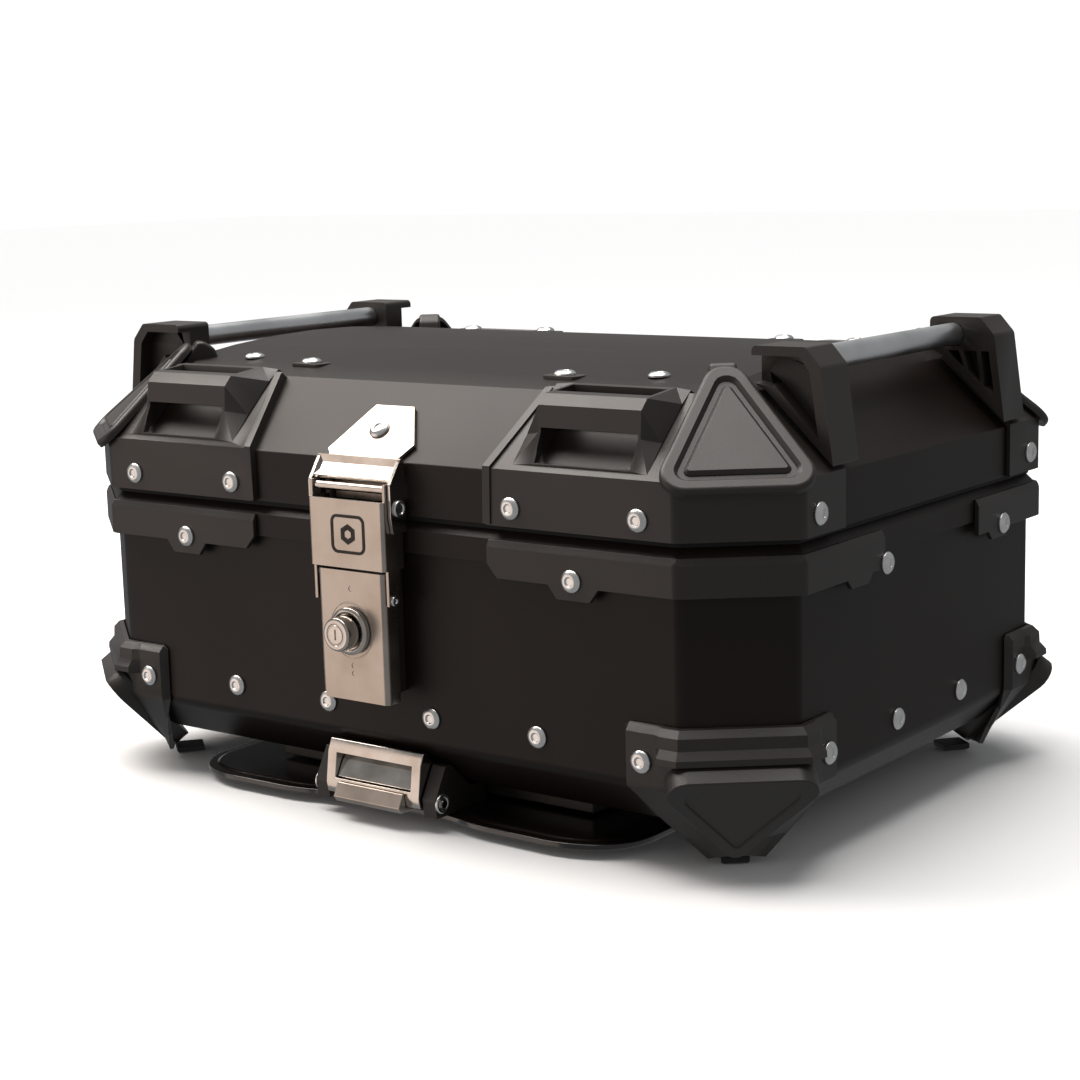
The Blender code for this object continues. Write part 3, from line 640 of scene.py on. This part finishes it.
def makePads():
    pad = {
        "half": 41.0, "long": 89.5, "lean": 1.084, "base": 184.0, "inset": -12.0,
        "over": 0.25, "thick": 4.5, "radius": 11.3, "edge": 0.5,
    }
    groove = {"outer": 7.4, "inner": 9.9, "deep": 2.1, "corner": 4.5, "edge": 2.4, "slant": 1.7}
    start = onCorner(0, pad["inset"], pad["base"])
    side = (onCorner(1, 0, 0) - onCorner(0, 0, 0)).normalized()
    up = (onCorner(0, pad["inset"] + pad["lean"], pad["base"] + 1) - start).normalized()
    out = side.cross(up)
    corners = [(-pad["half"], 0), (pad["half"], 0), (0, pad["long"])]

    def place(spot, lift):
        return start + (side * spot[0] + up * spot[1]) * mm + out * lift * mm

    edge = roundedOutline(movedIn(corners, -pad["over"]), (pad["radius"],) * 3, 9)
    back = pad["over"] - pad["thick"]
    slab = plate("padFront", [place(spot, back) for spot in edge], out * pad["thick"] * mm)
    softenBends(slab, groove["edge"], 80, 100, 5, standsOut(start, out, 0))
    ring = triangularRing(
        corners, groove["outer"], groove["inner"], groove["corner"],
        lambda spot: place(spot, pad["over"] - groove["deep"]), out * 8 * mm,
    )
    combine(slab, ring)
    softenBends(slab, groove["slant"], 80, 100, 1, standsOut(start, out, (pad["over"] - 0.1) * mm))
    heel = {"wide": 13, "round": 4.5, "roundFrom": 226}
    path = [(38, 222), (47.6, 234.4), (51, 234.2), (57, 230.5), (60, 222)]
    lump = plate(
        "heel", [onCorner(-heel["wide"] / 2, inset, z) for inset, z in path], side * heel["wide"] * mm,
    )
    softenBends(lump, heel["round"], 15, 120, 5, above(heel["roundFrom"]))
    combine(slab, lump, "UNION")
    tidyMesh(slab, 0.3)
    roundEdges(slab, pad["edge"], 3, 32)
    atCorners(slab, "cornerPad", "corner_pad", "lid")
    print("pads made")


def makeRails():
    bracket = {
        "outerY": -101.0, "innerY": -77.0, "ribDeep": 9.0, "openDeep": 9.0,
        "round": 6.5, "roundFrom": 230, "edge": 1.3, "railEdge": 0.4,
    }
    roundFrom = at(0, 0, bracket["roundFrom"]).z
    piece = takeCad("rail_bracket_front_right", "bracketBlank")
    pockets = (
        ((199, 225.5), (205, 225.5), (208.5, 216.5), (202.5, 221.5)),
        ((207.5, 225.5), (215, 225.5), (217.5, 208.8), (210.8, 214.8)),
        ((217.5, 225.5), (222, 225.5), (225.2, 204.0), (219.8, 207.0)),
    )
    softenBends(
        piece, bracket["round"], 20, 80, 4,
        test=lambda middle, along: lengthwise(middle, along) and middle.z > roundFrom,
    )
    for pocket in pockets:
        outline = [at(x, bracket["innerY"] + 5, z) for x, z in pocket]
        combine(piece, plate("ribPocket", outline, (0, -(bracket["ribDeep"] + 5) * mm, 0)))
    openSide = [(186, 226.5), (200, 224), (200, 238.5), (186, 238.5)]
    outline = [at(x, bracket["outerY"] - 5, z) for x, z in openSide]
    combine(piece, plate("openSide", outline, (0, (bracket["openDeep"] + 5) * mm, 0)))
    tidyMesh(piece, 0.5)
    roundEdges(piece, bracket["edge"], 3, 30)
    atCorners(piece, "railBracket", "rail_bracket", "lid")
    for side in ("left", "right"):
        rail = takeCad("hand_rail_" + side, "handRail_" + side)
        roundEdges(rail, bracket["railEdge"], 2, 50)
        settle(rail, "lid", satinAluminium, "hand_rail_" + side)
    print("rails made")


# the tub's plan: half sizes to its walls, and how far each corner is cut off
corner = {"halfX": 224.5, "halfY": 155.5, "cutX": 42.0, "cutY": 34.0}
cornerLength = math.hypot(corner["cutX"], corner["cutY"])
cornerOut = Vector((0.63, -0.777, 0))  # roughly outwards at the front right corner


def wrapPlace(kind, place, standoff, z):
    # a place on the front right corner's outline, standing off the tub's wall
    nx, ny = corner["cutY"] / cornerLength, corner["cutX"] / cornerLength
    grow = standoff * (nx + ny - 1)
    hx, hy = corner["halfX"] + standoff, corner["halfY"] + standoff
    cx, cy = corner["cutX"] + grow / nx, corner["cutY"] + grow / ny
    spots = {
        "front": (place, hy), "side": (hx, place),
        "cornerFront": (hx - cx, hy), "cornerSide": (hx, hy - cy),
    }
    x, y = spots[kind]
    return at(x, -y, z)


def onCorner(tangent, inward, z):
    # a place from the middle of the corner's cut face
    along = Vector((corner["cutX"] / cornerLength, corner["cutY"] / cornerLength, 0))
    inside = Vector((-along.y, along.x, 0))
    middle = at(corner["halfX"] - corner["cutX"] / 2, corner["cutY"] / 2 - corner["halfY"], z)
    return middle + (along * tangent + inside * inward) * mm


def wrappedSheet(name, columns, rows, place, thickness):
    # a grid laid over the corner, one column for each station, with a wall of its own
    sheet = newPrimitive(
        name, bpy.ops.mesh.primitive_grid_add,
        x_subdivisions=len(columns) - 1, y_subdivisions=len(rows) - 1, size=1,
    )
    for index, vertex in enumerate(sheet.data.vertices):
        vertex.co = place(columns[index % len(columns)], rows[index // len(columns)])
    openWhole(sheet)
    bpy.ops.mesh.normals_make_consistent(inside=False)
    closeMesh()
    middle = sum((face.normal for face in sheet.data.polygons), Vector())
    if middle.dot(cornerOut) < 0:
        sheet.data.flip_normals()
    wall = sheet.modifiers.new("wall", "SOLIDIFY")
    wall.thickness = thickness * mm
    wall.offset = -1
    wall.use_even_offset = True
    applyLast(sheet, wall)
    return sheet


def makeGuards():
    guard = {
        "thick": 2.4, "edge": 0.7, "endStandoff": 0.8, "foldHeight": 43.0, "foldStandoff": 4.2,
        "tipInset": 23.0, "tipHeight": 4.6, "footEdge": 0.9, "trimBend": 2.4, "trimEdge": 0.8,
    }
    # rows are (height, standoff of the plain ends, standoff of the ridged corner)
    rows = [
        (73.4, 0.6, 0.8), (72.9, 1.6, 3.0), (69.6, 4.6, 6.2), (64.0, 4.6, 6.5), (60.2, 4.6, 9.6),
        (57.2, 4.6, 9.8), (56.4, 4.6, 6.0), (46.0, 4.6, 5.4), (43.0, 4.2, 4.6),
    ]
    # columns are (wall, place along it, 1 where it is ridged, place round the foot)
    columns = [
        ("front", 152, 0, -17), ("front", 155, 0, -16), ("front", 171, 0, -13), ("front", 175, 1, -12),
        ("cornerFront", 0, 1, -8), ("cornerSide", 0, 1, 8), ("side", 113, 1, 12), ("side", 109, 0, 13),
        ("side", 95, 0, 16), ("side", 92, 0, 17),
    ]
    under = [(0.35,), (0.7,), (1.0,)]  # shares of the way down to the foot

    def place(column, row):
        kind, spot, ridged, footTangent = column
        if len(row) == 3:
            edge = abs(footTangent) == 17
            standoff = guard["endStandoff"] if edge else row[1 + ridged]
            height = row[0] - (1.8 if edge and row[0] > 69 else 0)
            return wrapPlace(kind, spot, standoff, height)
        fold = wrapPlace(kind, spot, guard["foldStandoff"], guard["foldHeight"])
        inset = guard["tipInset"] - abs(footTangent) * 0.25
        return fold.lerp(onCorner(footTangent * 0.8, inset, guard["tipHeight"]), row[0])

    wrap = wrappedSheet("guardWrap", columns, rows + under, place, guard["thick"])
    roundEdges(wrap, guard["edge"], 2, 22)
    atCorners(wrap, "guardWrap", "corner_guard", "case")

    panel = {
        "radius": 10.0, "tip": 5.0, "thick": 11.0, "front": 2.0, "sunk": 0.8, "border": 6.0,
        "round": 2.6, "edge": 0.5, "hollowRadii": (7.0, 7.0, 2.0),
    }
    start = onCorner(0, -11.5, 49.5)
    down = (onCorner(0, 24, 4) - start).normalized()
    side = (onCorner(1, 0, 0) - onCorner(0, 0, 0)).normalized()
    out = down.cross(side).normalized()
    if out.dot(cornerOut) < 0:
        out = -out
    corners = [(-44, -3.5), (44, -3.5), (0, 61)]

    def onPanel(spot, lift):
        return start + (side * spot[0] + down * spot[1]) * mm + out * lift * mm

    edge = roundedOutline(corners, (panel["radius"], panel["radius"], panel["tip"]), 6)
    back = panel["front"] - panel["thick"]
    shield = plate("shield", [onPanel(spot, back) for spot in edge], out * panel["thick"] * mm)
    inner = roundedOutline(movedIn(corners, panel["border"]), panel["hollowRadii"], 6)
    sunk = panel["front"] - panel["sunk"]
    combine(shield, plate("hollow", [onPanel(spot, sunk) for spot in inner], out * 5 * mm))
    softenBends(shield, panel["round"], 80, 100, 4, standsOut(start, out, (panel["front"] - 0.1) * mm))
    roundEdges(shield, panel["edge"], 3, 30)
    atCorners(shield, "guardShield", None, "case")
    for cornerName in cornerSigns:
        foot = takeCad("rubber_foot_" + cornerName, "rubberFoot_" + cornerName)
        roundEdges(foot, guard["footEdge"], 3, 30)
        settle(foot, "case", softRubber, "rubber_foot_" + cornerName)
        trim = takeCad("rim_trim_" + cornerName, "rimWrap_" + cornerName)
        softenBends(trim, guard["trimBend"], 20, 62, 3, test=upright)
        roundEdges(trim, guard["trimEdge"], 3, 26)
        settle(trim, "case", mouldedPlastic, "rim_trim_" + cornerName)
    print("guards and rim wraps made")


def roundedOutline(corners, radii, steps):
    # a flat outline whose corners are arcs of these radii
    points = []
    for i, spot in enumerate(corners):
        here, radius = Vector(spot), radii[i]
        before = (Vector(corners[i - 1]) - here).normalized()
        after = (Vector(corners[(i + 1) % len(corners)]) - here).normalized()
        half = before.angle(after) / 2
        centre = here + (before + after).normalized() * (radius / math.sin(half))
        start = here + before * (radius / math.tan(half)) - centre
        end = here + after * (radius / math.tan(half)) - centre
        points += [tuple(centre + start.slerp(end, k / steps) * radius) for k in range(steps + 1)]
    return points


rivetHead = {
    "radius": 5.5, "rim": 0.9, "edge": 0.15,  # the dome is (inwards, outwards) steps
    "dome": ((0.35, 0.45), (0.9, 0.75), (1.2, 0.35), (0.75, -0.15), (0.35, -0.8)),
}
bothSides = (("Left", -1), ("Right", 1))
bothEnds = (("Fore", -1), ("Aft", 1))


def domedHead(name, place, axis):
    head = turned(name, place, axis, rivetHead["radius"], rivetHead["rim"], rivetHead["dome"])
    roundEdges(head, rivetHead["edge"], 2, 30)
    return head


def rivetPlaces():
    # each rivet's tag, with its body, its place and the way that it faces
    stand = {"tub": 0.05, "lid": 5.35, "trim": 5.85, "guard": 4.75}  # from the tub's wall, in millimetres
    made = {}
    spots = []
    for x in (34.5, 100.4):
        spots.append(("tubFront", "case", (x, -1, 57.6), stand["tub"]))
        spots.append(("tubBack", "case", (x, 1, 57.6), stand["tub"]))
    for tag, sy in (("Front", -1), ("Back", 1)):
        spots.append(("guard" + tag, "case", (163.5, sy, 56.0), stand["guard"]))
        spots.append(("rim" + tag, "case", (127.0, sy, 137.0), stand["trim"]))
        spots.append(("lidOuter" + tag, "lid", (164.5, sy, 168.5), stand["lid"]))
        spots.append(("lidInner" + tag, "lid", (92.0, sy, 168.5), stand["lid"]))
    for tag, body, (x, sy, z), out in spots:
        for side, sx in bothSides:
            place = at(sx * x, sy * (corner["halfY"] + out), z)
            made[tag + side + ("" if x != 34.5 else "Inner")] = (body, place, (0, sy, 0))
    spots = [("tubSide", "case", y, 54.5, stand["tub"]) for y in (-27, 41)]
    spots += [("guardSide", "case", y, 56.0, stand["guard"]) for y in (-102.5, 102.5)]
    spots += [("rimSide", "case", y, 136.5, stand["trim"]) for y in (-49, 78)]
    spots += [("lidSide", "lid", y, 169.5, stand["lid"]) for y in (-111, 111)]
    for tag, body, y, z, out in spots:
        for side, sx in bothSides:
            place = at(sx * (corner["halfX"] + out), y, z)
            made[tag + side + ("Fore" if y < 0 else "Aft")] = (body, place, (sx, 0, 0))
    for where, sy in bothEnds:
        for side, sx in bothSides:
            made["lidTop" + side + where] = ("lid", at(sx * 134, sy * 96, 225.9), (0, 0, 1))
            made["lidTopTab" + side + where] = ("lid", at(sx * 84, sy * 104, 225.6), (0, 0, 1))
    return made


def makeRivets():
    rivet = domedHead("rivetHead", (0, 0, 0), (0, 0, 1))
    stands = {
        "tubFrontLeft": "body_rivet_1", "tubFrontLeftInner": "body_rivet_2",
        "tubFrontRightInner": "body_rivet_3", "tubFrontRight": "body_rivet_4",
        "rimFrontLeft": "rim_rivet_left", "rimFrontRight": "rim_rivet_right",
    }
    made = rivetPlaces()
    for tag, (body, place, axis) in made.items():
        turn = Vector(axis).to_track_quat("Z", "Y").to_matrix().to_4x4()
        copy = moved(rivet, "rivet_" + tag, Matrix.Translation(place) @ turn)
        settle(copy, body, rivetMetal, *([stands[tag]] if tag in stands else []))
    bpy.data.objects.remove(rivet)
    # the tabs under the top's inner rivets
    tab = {
        "x": 84, "y": 104, "long": 21.0, "wide": 12.0, "thick": 2.3, "under": 223.4,
        "round": 3.0, "edge": 0.5,
    }
    for where, sy in bothEnds:
        for side, sx in bothSides:
            low = at(sx * tab["x"] - tab["long"] / 2, sy * tab["y"] - tab["wide"] / 2, tab["under"])
            high = low + Vector((tab["long"], tab["wide"], tab["thick"])) * mm
            piece = block("topTab_" + side + where, low, high)
            softenBends(piece, tab["round"], 80, 100, 4, test=upright)
            roundEdges(piece, tab["edge"], 2, 40)
            settle(piece, "lid", mouldedPlastic)
    print("rivets made:", len(made))


def smallHead(name, place, axis, body, radius):
    # a pivot's head, with a ring round a hollow middle
    rings = ((0.4, 0.5), (1.0, 0.0), (0.35, -0.7), (0.6, 0.0))
    piece = turned(name, place, axis, radius, 0.8, rings, 32)
    roundEdges(piece, 0.12, 2, 30)
    return settle(piece, body, rivetMetal)


def makeCatch():
    # the hook over the keeper: two arms and a curled channel between them
    catch = {"bend": 5.0, "armX": 24.5, "bendFrom": -162, "y": -171.4, "z": 187.6, "curl": 9.6, "edge": 0.35}
    piece = takeCad("latch_catch", "latchCatch")
    armX, front = catch["armX"] * mm, inFrontOf(catch["bendFrom"], crosswise)
    softenBends(
        piece, catch["bend"], 30, 110, 5,
        test=lambda middle, along: front(middle, along) and abs(middle.x) > armX,
    )
    arc = []
    for turn in (0.1, 0.35, 0.6, 0.85, 1.1, 1.35):
        arc.append((catch["y"] + catch["curl"] * math.sin(turn), catch["z"] - catch["curl"] * math.cos(turn)))
    inner = [(y + 0.55, z - 0.95) for y, z in reversed(arc)]
    channel = plate("channel", [at(-25.4, y, z) for y, z in arc + inner], (50.8 * mm, 0, 0))
    combine(piece, channel, "UNION")
    tidyMesh(piece, 0.5)
    roundEdges(piece, catch["edge"], 2, 32)
    settle(piece, "latch_hook", polishedSteel, "latch_catch")


def makeLatchCover():
    cover = {"bend": 3.0, "bendFrom": -174.6, "edge": 0.28, "front": -175.1}
    piece = takeCad("latch_cover", "latchCover")
    softenBends(piece, cover["bend"], 60, 100, 5, inFrontOf(cover["bendFrom"], upright))
    tidyMesh(piece, 0.3)
    roundEdges(piece, cover["edge"], 2, 40)
    settle(piece, "latch_hook", brushedSteel, "latch_cover")
    # a plain badge: a hexagon in a rounded frame
    badge = {
        "left": -9.5, "right": 12.5, "low": 141.0, "high": 160.5, "line": 1.5, "radius": 4.0,
        "proud": 0.3, "gem": 5.2, "gemRings": ((1.6, 0.0), (1.2, -0.25)),
    }
    left, right, low, high = (badge[label] for label in ("left", "right", "low", "high"))
    box = [(left, low), (right, low), (right, high), (left, high)]
    spots = roundedOutline(box, (badge["radius"],) * 4, 6)
    ring = plate(
        "latchBadge", [at(x, cover["front"], z) for x, z in spots], (0, -(badge["proud"] + 0.1) * mm, 0),
    )
    spots = roundedOutline(movedIn(box, badge["line"]), (badge["radius"] - badge["line"],) * 4, 6)
    combine(ring, plate("badgeField", [at(x, cover["front"] + 3, z) for x, z in spots], (0, -9 * mm, 0)))
    settle(ring, "latch_hook", blackZinc)
    middle = at((left + right) / 2, cover["front"], (low + high) / 2)
    gem = turned("latchGem", middle, (0, -1, 0), badge["gem"], badge["proud"], badge["gemRings"], 6)
    settle(gem, "latch_hook", blackZinc)


def makeLockLever():
    lever = {"front": -173.4, "lock": 102.0, "bend": 3.0, "bendFrom": -172.5, "edge": 0.22}
    forwards = (0, -1, 0)
    piece = takeCad("latch_lever", "latchLever")
    softenBends(piece, lever["bend"], 60, 100, 3, inFrontOf(lever["bendFrom"], upright))
    # an engraved circle round the lock, and dots above and below it
    mark = {"radius": 14.4, "line": 0.7, "deep": 0.4, "dot": 1.3, "dots": (21.0, -18.0, -22.0)}
    place = at(0, lever["front"] + mark["deep"], lever["lock"])
    circle = turned("circleMark", place, forwards, mark["radius"], 3, (), 64)
    place = at(0, lever["front"] + 3, lever["lock"])
    combine(circle, turned("circleCore", place, forwards, mark["radius"] - mark["line"], 9, (), 64))
    combine(piece, circle)
    for up in mark["dots"]:
        place = at(0, lever["front"] + mark["deep"], lever["lock"] + up)
        combine(piece, turned("dotMark", place, forwards, mark["dot"], 3, (), 20))
    tidyMesh(piece, 0.3)
    roundEdges(piece, lever["edge"], 2, 40)
    settle(piece, "latch_lever", brushedSteel, "latch_lever")

    lock = {
        "barrel": 12, "barrelLong": 2.4, "barrelRings": ((0.5, 0.5), (1.4, 0.5), (0.9, -0.9), (0.3, 0)),
        "knob": 8.6, "knobLong": 6.2, "knobFrom": -178.2,
        "knobRings": ((0.35, 0.8), (0.9, 0.6), (1.6, 0.1), (0.35, -0.4), (0.5, 0.0), (0.35, 0.4)),
        "slotLong": 2.6, "slotWide": 0.55, "slotFront": -186.5, "slotBack": -184.7,
    }
    place = at(0, lever["front"] - 0.4, lever["lock"])
    barrel = turned(
        "lockBarrel", place, forwards, lock["barrel"], lock["barrelLong"], lock["barrelRings"], 64,
    )
    roundEdges(barrel, 0.2, 2, 30)
    settle(barrel, "latch_lever", polishedSteel, "lock_barrel")
    place = at(0, lock["knobFrom"], lever["lock"])
    knob = turned("lockKnob", place, forwards, lock["knob"], lock["knobLong"], lock["knobRings"], 64)
    low = at(-lock["slotWide"], lock["slotFront"], lever["lock"] - lock["slotLong"])
    high = at(lock["slotWide"], lock["slotBack"], lever["lock"] + lock["slotLong"])
    combine(knob, block("keySlot", low, high))
    roundEdges(knob, 0.15, 2, 30)
    settle(knob, "lock_knob", polishedSteel, "lock_knob")


def makeLatch():
    finishCad("latch_housing", "case", mouldedPlastic, (0.8, 3, 30))
    finishCad("latch_crossbar", "latch_hook", polishedSteel, (0.3, 3, 30))
    finishCad("latch_pivot_pin", "case", polishedSteel, (0.3, 3, 30))
    finishCad("keeper_plate", "lid", brushedSteel, (0.45, 3, 30))
    makeCatch()
    makeLatchCover()
    makeLockLever()
    pivots = (
        ("catchPivot", "latch_hook", (26.8, -165.6, 164.0), 4.2),
        ("leverPivot", "latch_lever", (22.0, -167.0, 129.5), 3.4),
        ("hookPivot", "latch_hook", (24.6, -169.0, 118.5), 2.6),
    )
    for side, sx in bothSides:
        for name, body, (x, y, z), radius in pivots:
            smallHead(name + side, at(sx * x, y, z), (sx, 0, 0), body, radius)
    # the keeper's rivet stands on the lid's front slope
    keeper = {"foot": (0, -158.5, 185.5), "slope": (0, 38.0, 34.5), "up": 18, "proud": 2.3}
    slope = Vector(keeper["slope"]).normalized()
    out = Vector((0, -slope.z, slope.y))
    start = at(*keeper["foot"]) + (out * keeper["proud"] + slope * keeper["up"]) * mm
    settle(domedHead("keeperRivet", start, out), "lid", rivetMetal, "keeper_rivet")
    print("latch made")


def stepFace(piece, facing, border, slant, rise):
    # a low step inside the edge of a plate's upper or lower face
    pickFaces(piece, lambda centre, normal, area: normal.z * facing > 0.9 and area > 0.01)
    bpy.ops.mesh.inset(thickness=border * mm, depth=0)
    bpy.ops.mesh.inset(thickness=slant * mm, depth=rise * mm)
    closeMesh()


def makeBase():
    deck = {"bend": 9.0, "border": 5.0, "slant": 1.0, "rise": 0.9, "edge": 0.7}
    piece = takeCad("mounting_plate", "mountingPlate")
    softenBends(piece, deck["bend"], 8, 70, 5, test=upright)
    stepFace(piece, 1, deck["border"], deck["slant"], deck["rise"])
    roundEdges(piece, deck["edge"], 3, 24)
    settle(piece, "rack_plate", glossCoat, "mounting_plate")

    adapter = {"bend": 8.0, "border": 8.0, "slant": 1.5, "rise": -3.0, "edge": 0.9}
    piece = takeCad("base_adapter", "baseAdapter")
    softenBends(piece, adapter["bend"], 20, 80, 5, test=upright)
    stepFace(piece, -1, adapter["border"], adapter["slant"], adapter["rise"])
    roundEdges(piece, adapter["edge"], 3, 28)
    settle(piece, "case", mouldedPlastic, "base_adapter")

    clamp = {
        "bend": (6.0, 80, 100, 4, upright), "edge": (0.4, 2, 40), "x": 60, "y": 50,
        "washerZ": 24.95, "washer": 9, "washerLong": 1.4, "washerRings": ((0.5, 0.2),),
        "boltZ": 26.55, "bolt": 6.2, "boltLong": 3.6, "boltRings": ((0.6, 0.5), (2.0, 0.0), (0.3, -1.8)),
    }
    finishCad("clamp_plate", "case", blackZinc, clamp["edge"], clamp["bend"])
    for side, sx in bothSides:
        for where, sy in bothEnds:
            x, y, upwards = sx * clamp["x"], sy * clamp["y"], (0, 0, 1)
            place = at(x, y, clamp["washerZ"])
            washer = turned(
                "clampWasher" + side + where, place, upwards,
                clamp["washer"], clamp["washerLong"], clamp["washerRings"], 32,
            )
            settle(washer, "case", blackZinc)
            place = at(x, y, clamp["boltZ"])
            bolt = turned(
                "clampBolt" + side + where, place, upwards,
                clamp["bolt"], clamp["boltLong"], clamp["boltRings"], 6,
            )
            roundEdges(bolt, 0.25, 2, 30)
            settle(bolt, "case", blackZinc)


def makeRelease():
    release = {
        "housingEdge": (0.8, 3, 30), "housingBend": (4.0, 25, 80, 5, crosswise),
        "pinEdge": (0.3, 2, 40), "leverEdge": (0.8, 2, 30),
        "gripEdge": (0.5, 2, 35), "gripBend": (1.6, 25, 100, 4, crosswise),
        "head": (40.0, -157.0, 15.0), "headRadius": 5.0, "wedgeWide": 49.2, "wedgeEdge": (0.5, 3, 20),
    }
    finishCad("release_housing", "rack_plate", mouldedPlastic, release["housingEdge"], release["housingBend"])
    finishCad("release_pin", "rack_plate", polishedSteel, release["pinEdge"])
    x, y, z = release["head"]
    for side, sx in bothSides:
        place = at(sx * x, y, z)
        smallHead("releasePinHead" + side, place, (sx, 0, 0), "rack_plate", release["headRadius"])
    # the slanted plate inside the lever's frame
    path = [(-162.2, 20.6), (-160.4, 20.6), (-152.6, 32.4), (-154.8, 32.4), (-158.6, 27.5)]
    outline = [at(-release["wedgeWide"] / 2, y, z) for y, z in path]
    wedge = plate("releaseWedge", outline, (release["wedgeWide"] * mm, 0, 0))
    roundEdges(wedge, *release["wedgeEdge"])
    settle(wedge, "release_lever", polishedSteel)
    finishCad("release_lever", "release_lever", polishedSteel, release["leverEdge"])
    finishCad("release_grip", "release_lever", brushedSteel, release["gripEdge"], release["gripBend"])
    print("release parts made")


def makeHinge():
    hinge = {
        "edge": (0.2, 2, 40), "head": 3.2, "headLong": 0.4,
        "headRings": ((0.3, 0.4), (0.9, 0.5), (0.8, 0.15)),
    }
    for nodeName, body in (("hinge_leaf_body", "case"), ("hinge_leaf_lid", "lid"), ("hinge_pin", "case")):
        finishCad(nodeName, body, blackZinc, hinge["edge"])
    # each leaf's rivets: places across, height, and distance back
    rows = (("Body", "case", (-62, -21, 21, 62), 148.5, 160.6), ("Lid", "lid", (-37, 0, 37), 172.0, 160.4))
    for tag, body, places, z, y in rows:
        for number, x in enumerate(places):
            name = "hinge%sRivet%d" % (tag, number)
            head = turned(name, at(x, y, z), (0, 1, 0), hinge["head"], hinge["headLong"], hinge["headRings"])
            roundEdges(head, 0.12, 2, 30)
            settle(head, body, rivetMetal)
    print("hinge made")


makeShells()
makeCovers()
makePads()
makeRails()
makeGuards()
makeRivets()
makeLatch()
makeBase()
makeRelease()
makeHinge()


studio = {
    "azimuth": 37.3, "elevation": 10.1, "roll": -1.6, "distance": 1.2154, "lens": 72.2,
    "target": (-0.0134, 0.01005, 0.1189), "floorReach": 9.0, "floorDrop": 0.0004,
    "floorTone": 0.92, "roomStrength": 0.30, "seenStrength": 1.05,
}
daylight = {"from": (-0.25, 0.12, 1.0), "spread": 60, "power": 2.6, "colour": (1.0, 0.99, 0.98)}
panels = {
    "keyPanel": {
        "place": (-1.15, -0.25, 1.65), "size": (1.2, 1.2), "power": 29, "colour": (1.0, 0.92, 0.85),
    },
    "overheadPanel": {
        "place": (0.15, -0.1, 2.0), "size": (1.0, 1.0), "power": 9, "colour": (1.0, 0.95, 0.90),
    },
    "frontPanel": {
        "place": (-1.15, -1.5, -0.05), "size": (1.7, 1.5), "power": 7.5, "colour": (1.0, 0.80, 0.68),
    },
}
panelAim = (0, 0, 0.12)


def placeCamera():
    azimuth, elevation, roll = (math.radians(studio[k]) for k in ("azimuth", "elevation", "roll"))
    flat = math.cos(elevation)
    back = Vector((math.sin(azimuth) * flat, -math.cos(azimuth) * flat, math.sin(elevation)))
    right = (-back).cross(Vector((0, 0, 1))).normalized()
    up = right.cross(-back)
    rolledRight = math.cos(roll) * right + math.sin(roll) * up
    rolledUp = math.cos(roll) * up - math.sin(roll) * right
    turn = Matrix((rolledRight, rolledUp, back)).transposed()
    lens = bpy.data.cameras.new("studioCamera")
    lens.lens = studio["lens"]
    lens.sensor_width = 36
    lens.clip_start = 0.01
    camera = addObject("studioCamera", lens)
    place = Vector(studio["target"]) + back * studio["distance"]
    camera.matrix_world = Matrix.Translation(place) @ turn.to_4x4()
    bpy.context.scene.camera = camera


def placeFloor():
    floor = bakePlace(newPrimitive(
        "floor", bpy.ops.mesh.primitive_plane_add,
        size=2 * studio["floorReach"], location=(0, 0, -studio["floorDrop"]),
    ))
    paper, tree, shader = newFinish("floorPaper")
    shader.inputs["Base Color"].default_value = (*[studio["floorTone"]] * 3, 1)
    shader.inputs["Roughness"].default_value = 0.9
    shader.inputs["Specular IOR Level"].default_value = 0.1
    floor.data.materials.append(paper)
    # the floor stays out of reflections and bounced light
    floor.visible_glossy = False
    floor.visible_diffuse = False


def placeLamp(name, kind, look, facing, place=(0, 0, 0)):
    lamp = bpy.data.lights.new(name, kind)
    lamp.energy = look["power"]
    lamp.color = look["colour"]
    turn = Vector(facing).to_track_quat("Z", "Y").to_matrix().to_4x4()
    addObject(name, lamp).matrix_world = Matrix.Translation(place) @ turn
    return lamp


def placeLamps():
    # a wide sun from above keeps the floor even to its far edge
    sun = placeLamp("daylight", "SUN", daylight, daylight["from"])
    sun.angle = math.radians(daylight["spread"])
    for name, look in panels.items():
        panel = placeLamp(name, "AREA", look, Vector(look["place"]) - Vector(panelAim), look["place"])
        panel.shape = "RECTANGLE"
        panel.size, panel.size_y = look["size"]


def placeSurroundings():
    world = bpy.data.worlds.new("studioRoom")
    bpy.context.scene.world = world
    world.use_nodes = True
    tree = world.node_tree
    room = tree.nodes["Background"]
    room.inputs["Color"].default_value = (0.97, 0.985, 1.0, 1)
    room.inputs["Strength"].default_value = studio["roomStrength"]
    # the camera sees a plain white room, which lights nothing
    links = [("Color", (1, 1, 1, 1)), ("Strength", studio["seenStrength"])]
    seen = addNode(tree, "ShaderNodeBackground", links)
    path = tree.nodes.new("ShaderNodeLightPath")
    links = [(0, path.outputs["Is Camera Ray"]), (1, room.outputs[0]), (2, seen.outputs[0])]
    mix = addNode(tree, "ShaderNodeMixShader", links)
    tree.links.new(mix.outputs[0], tree.nodes["World Output"].inputs["Surface"])


placeCamera()
placeFloor()
placeSurroundings()
placeLamps()
bpy.context.scene.view_settings.view_transform = "Standard"
print("studio placed")
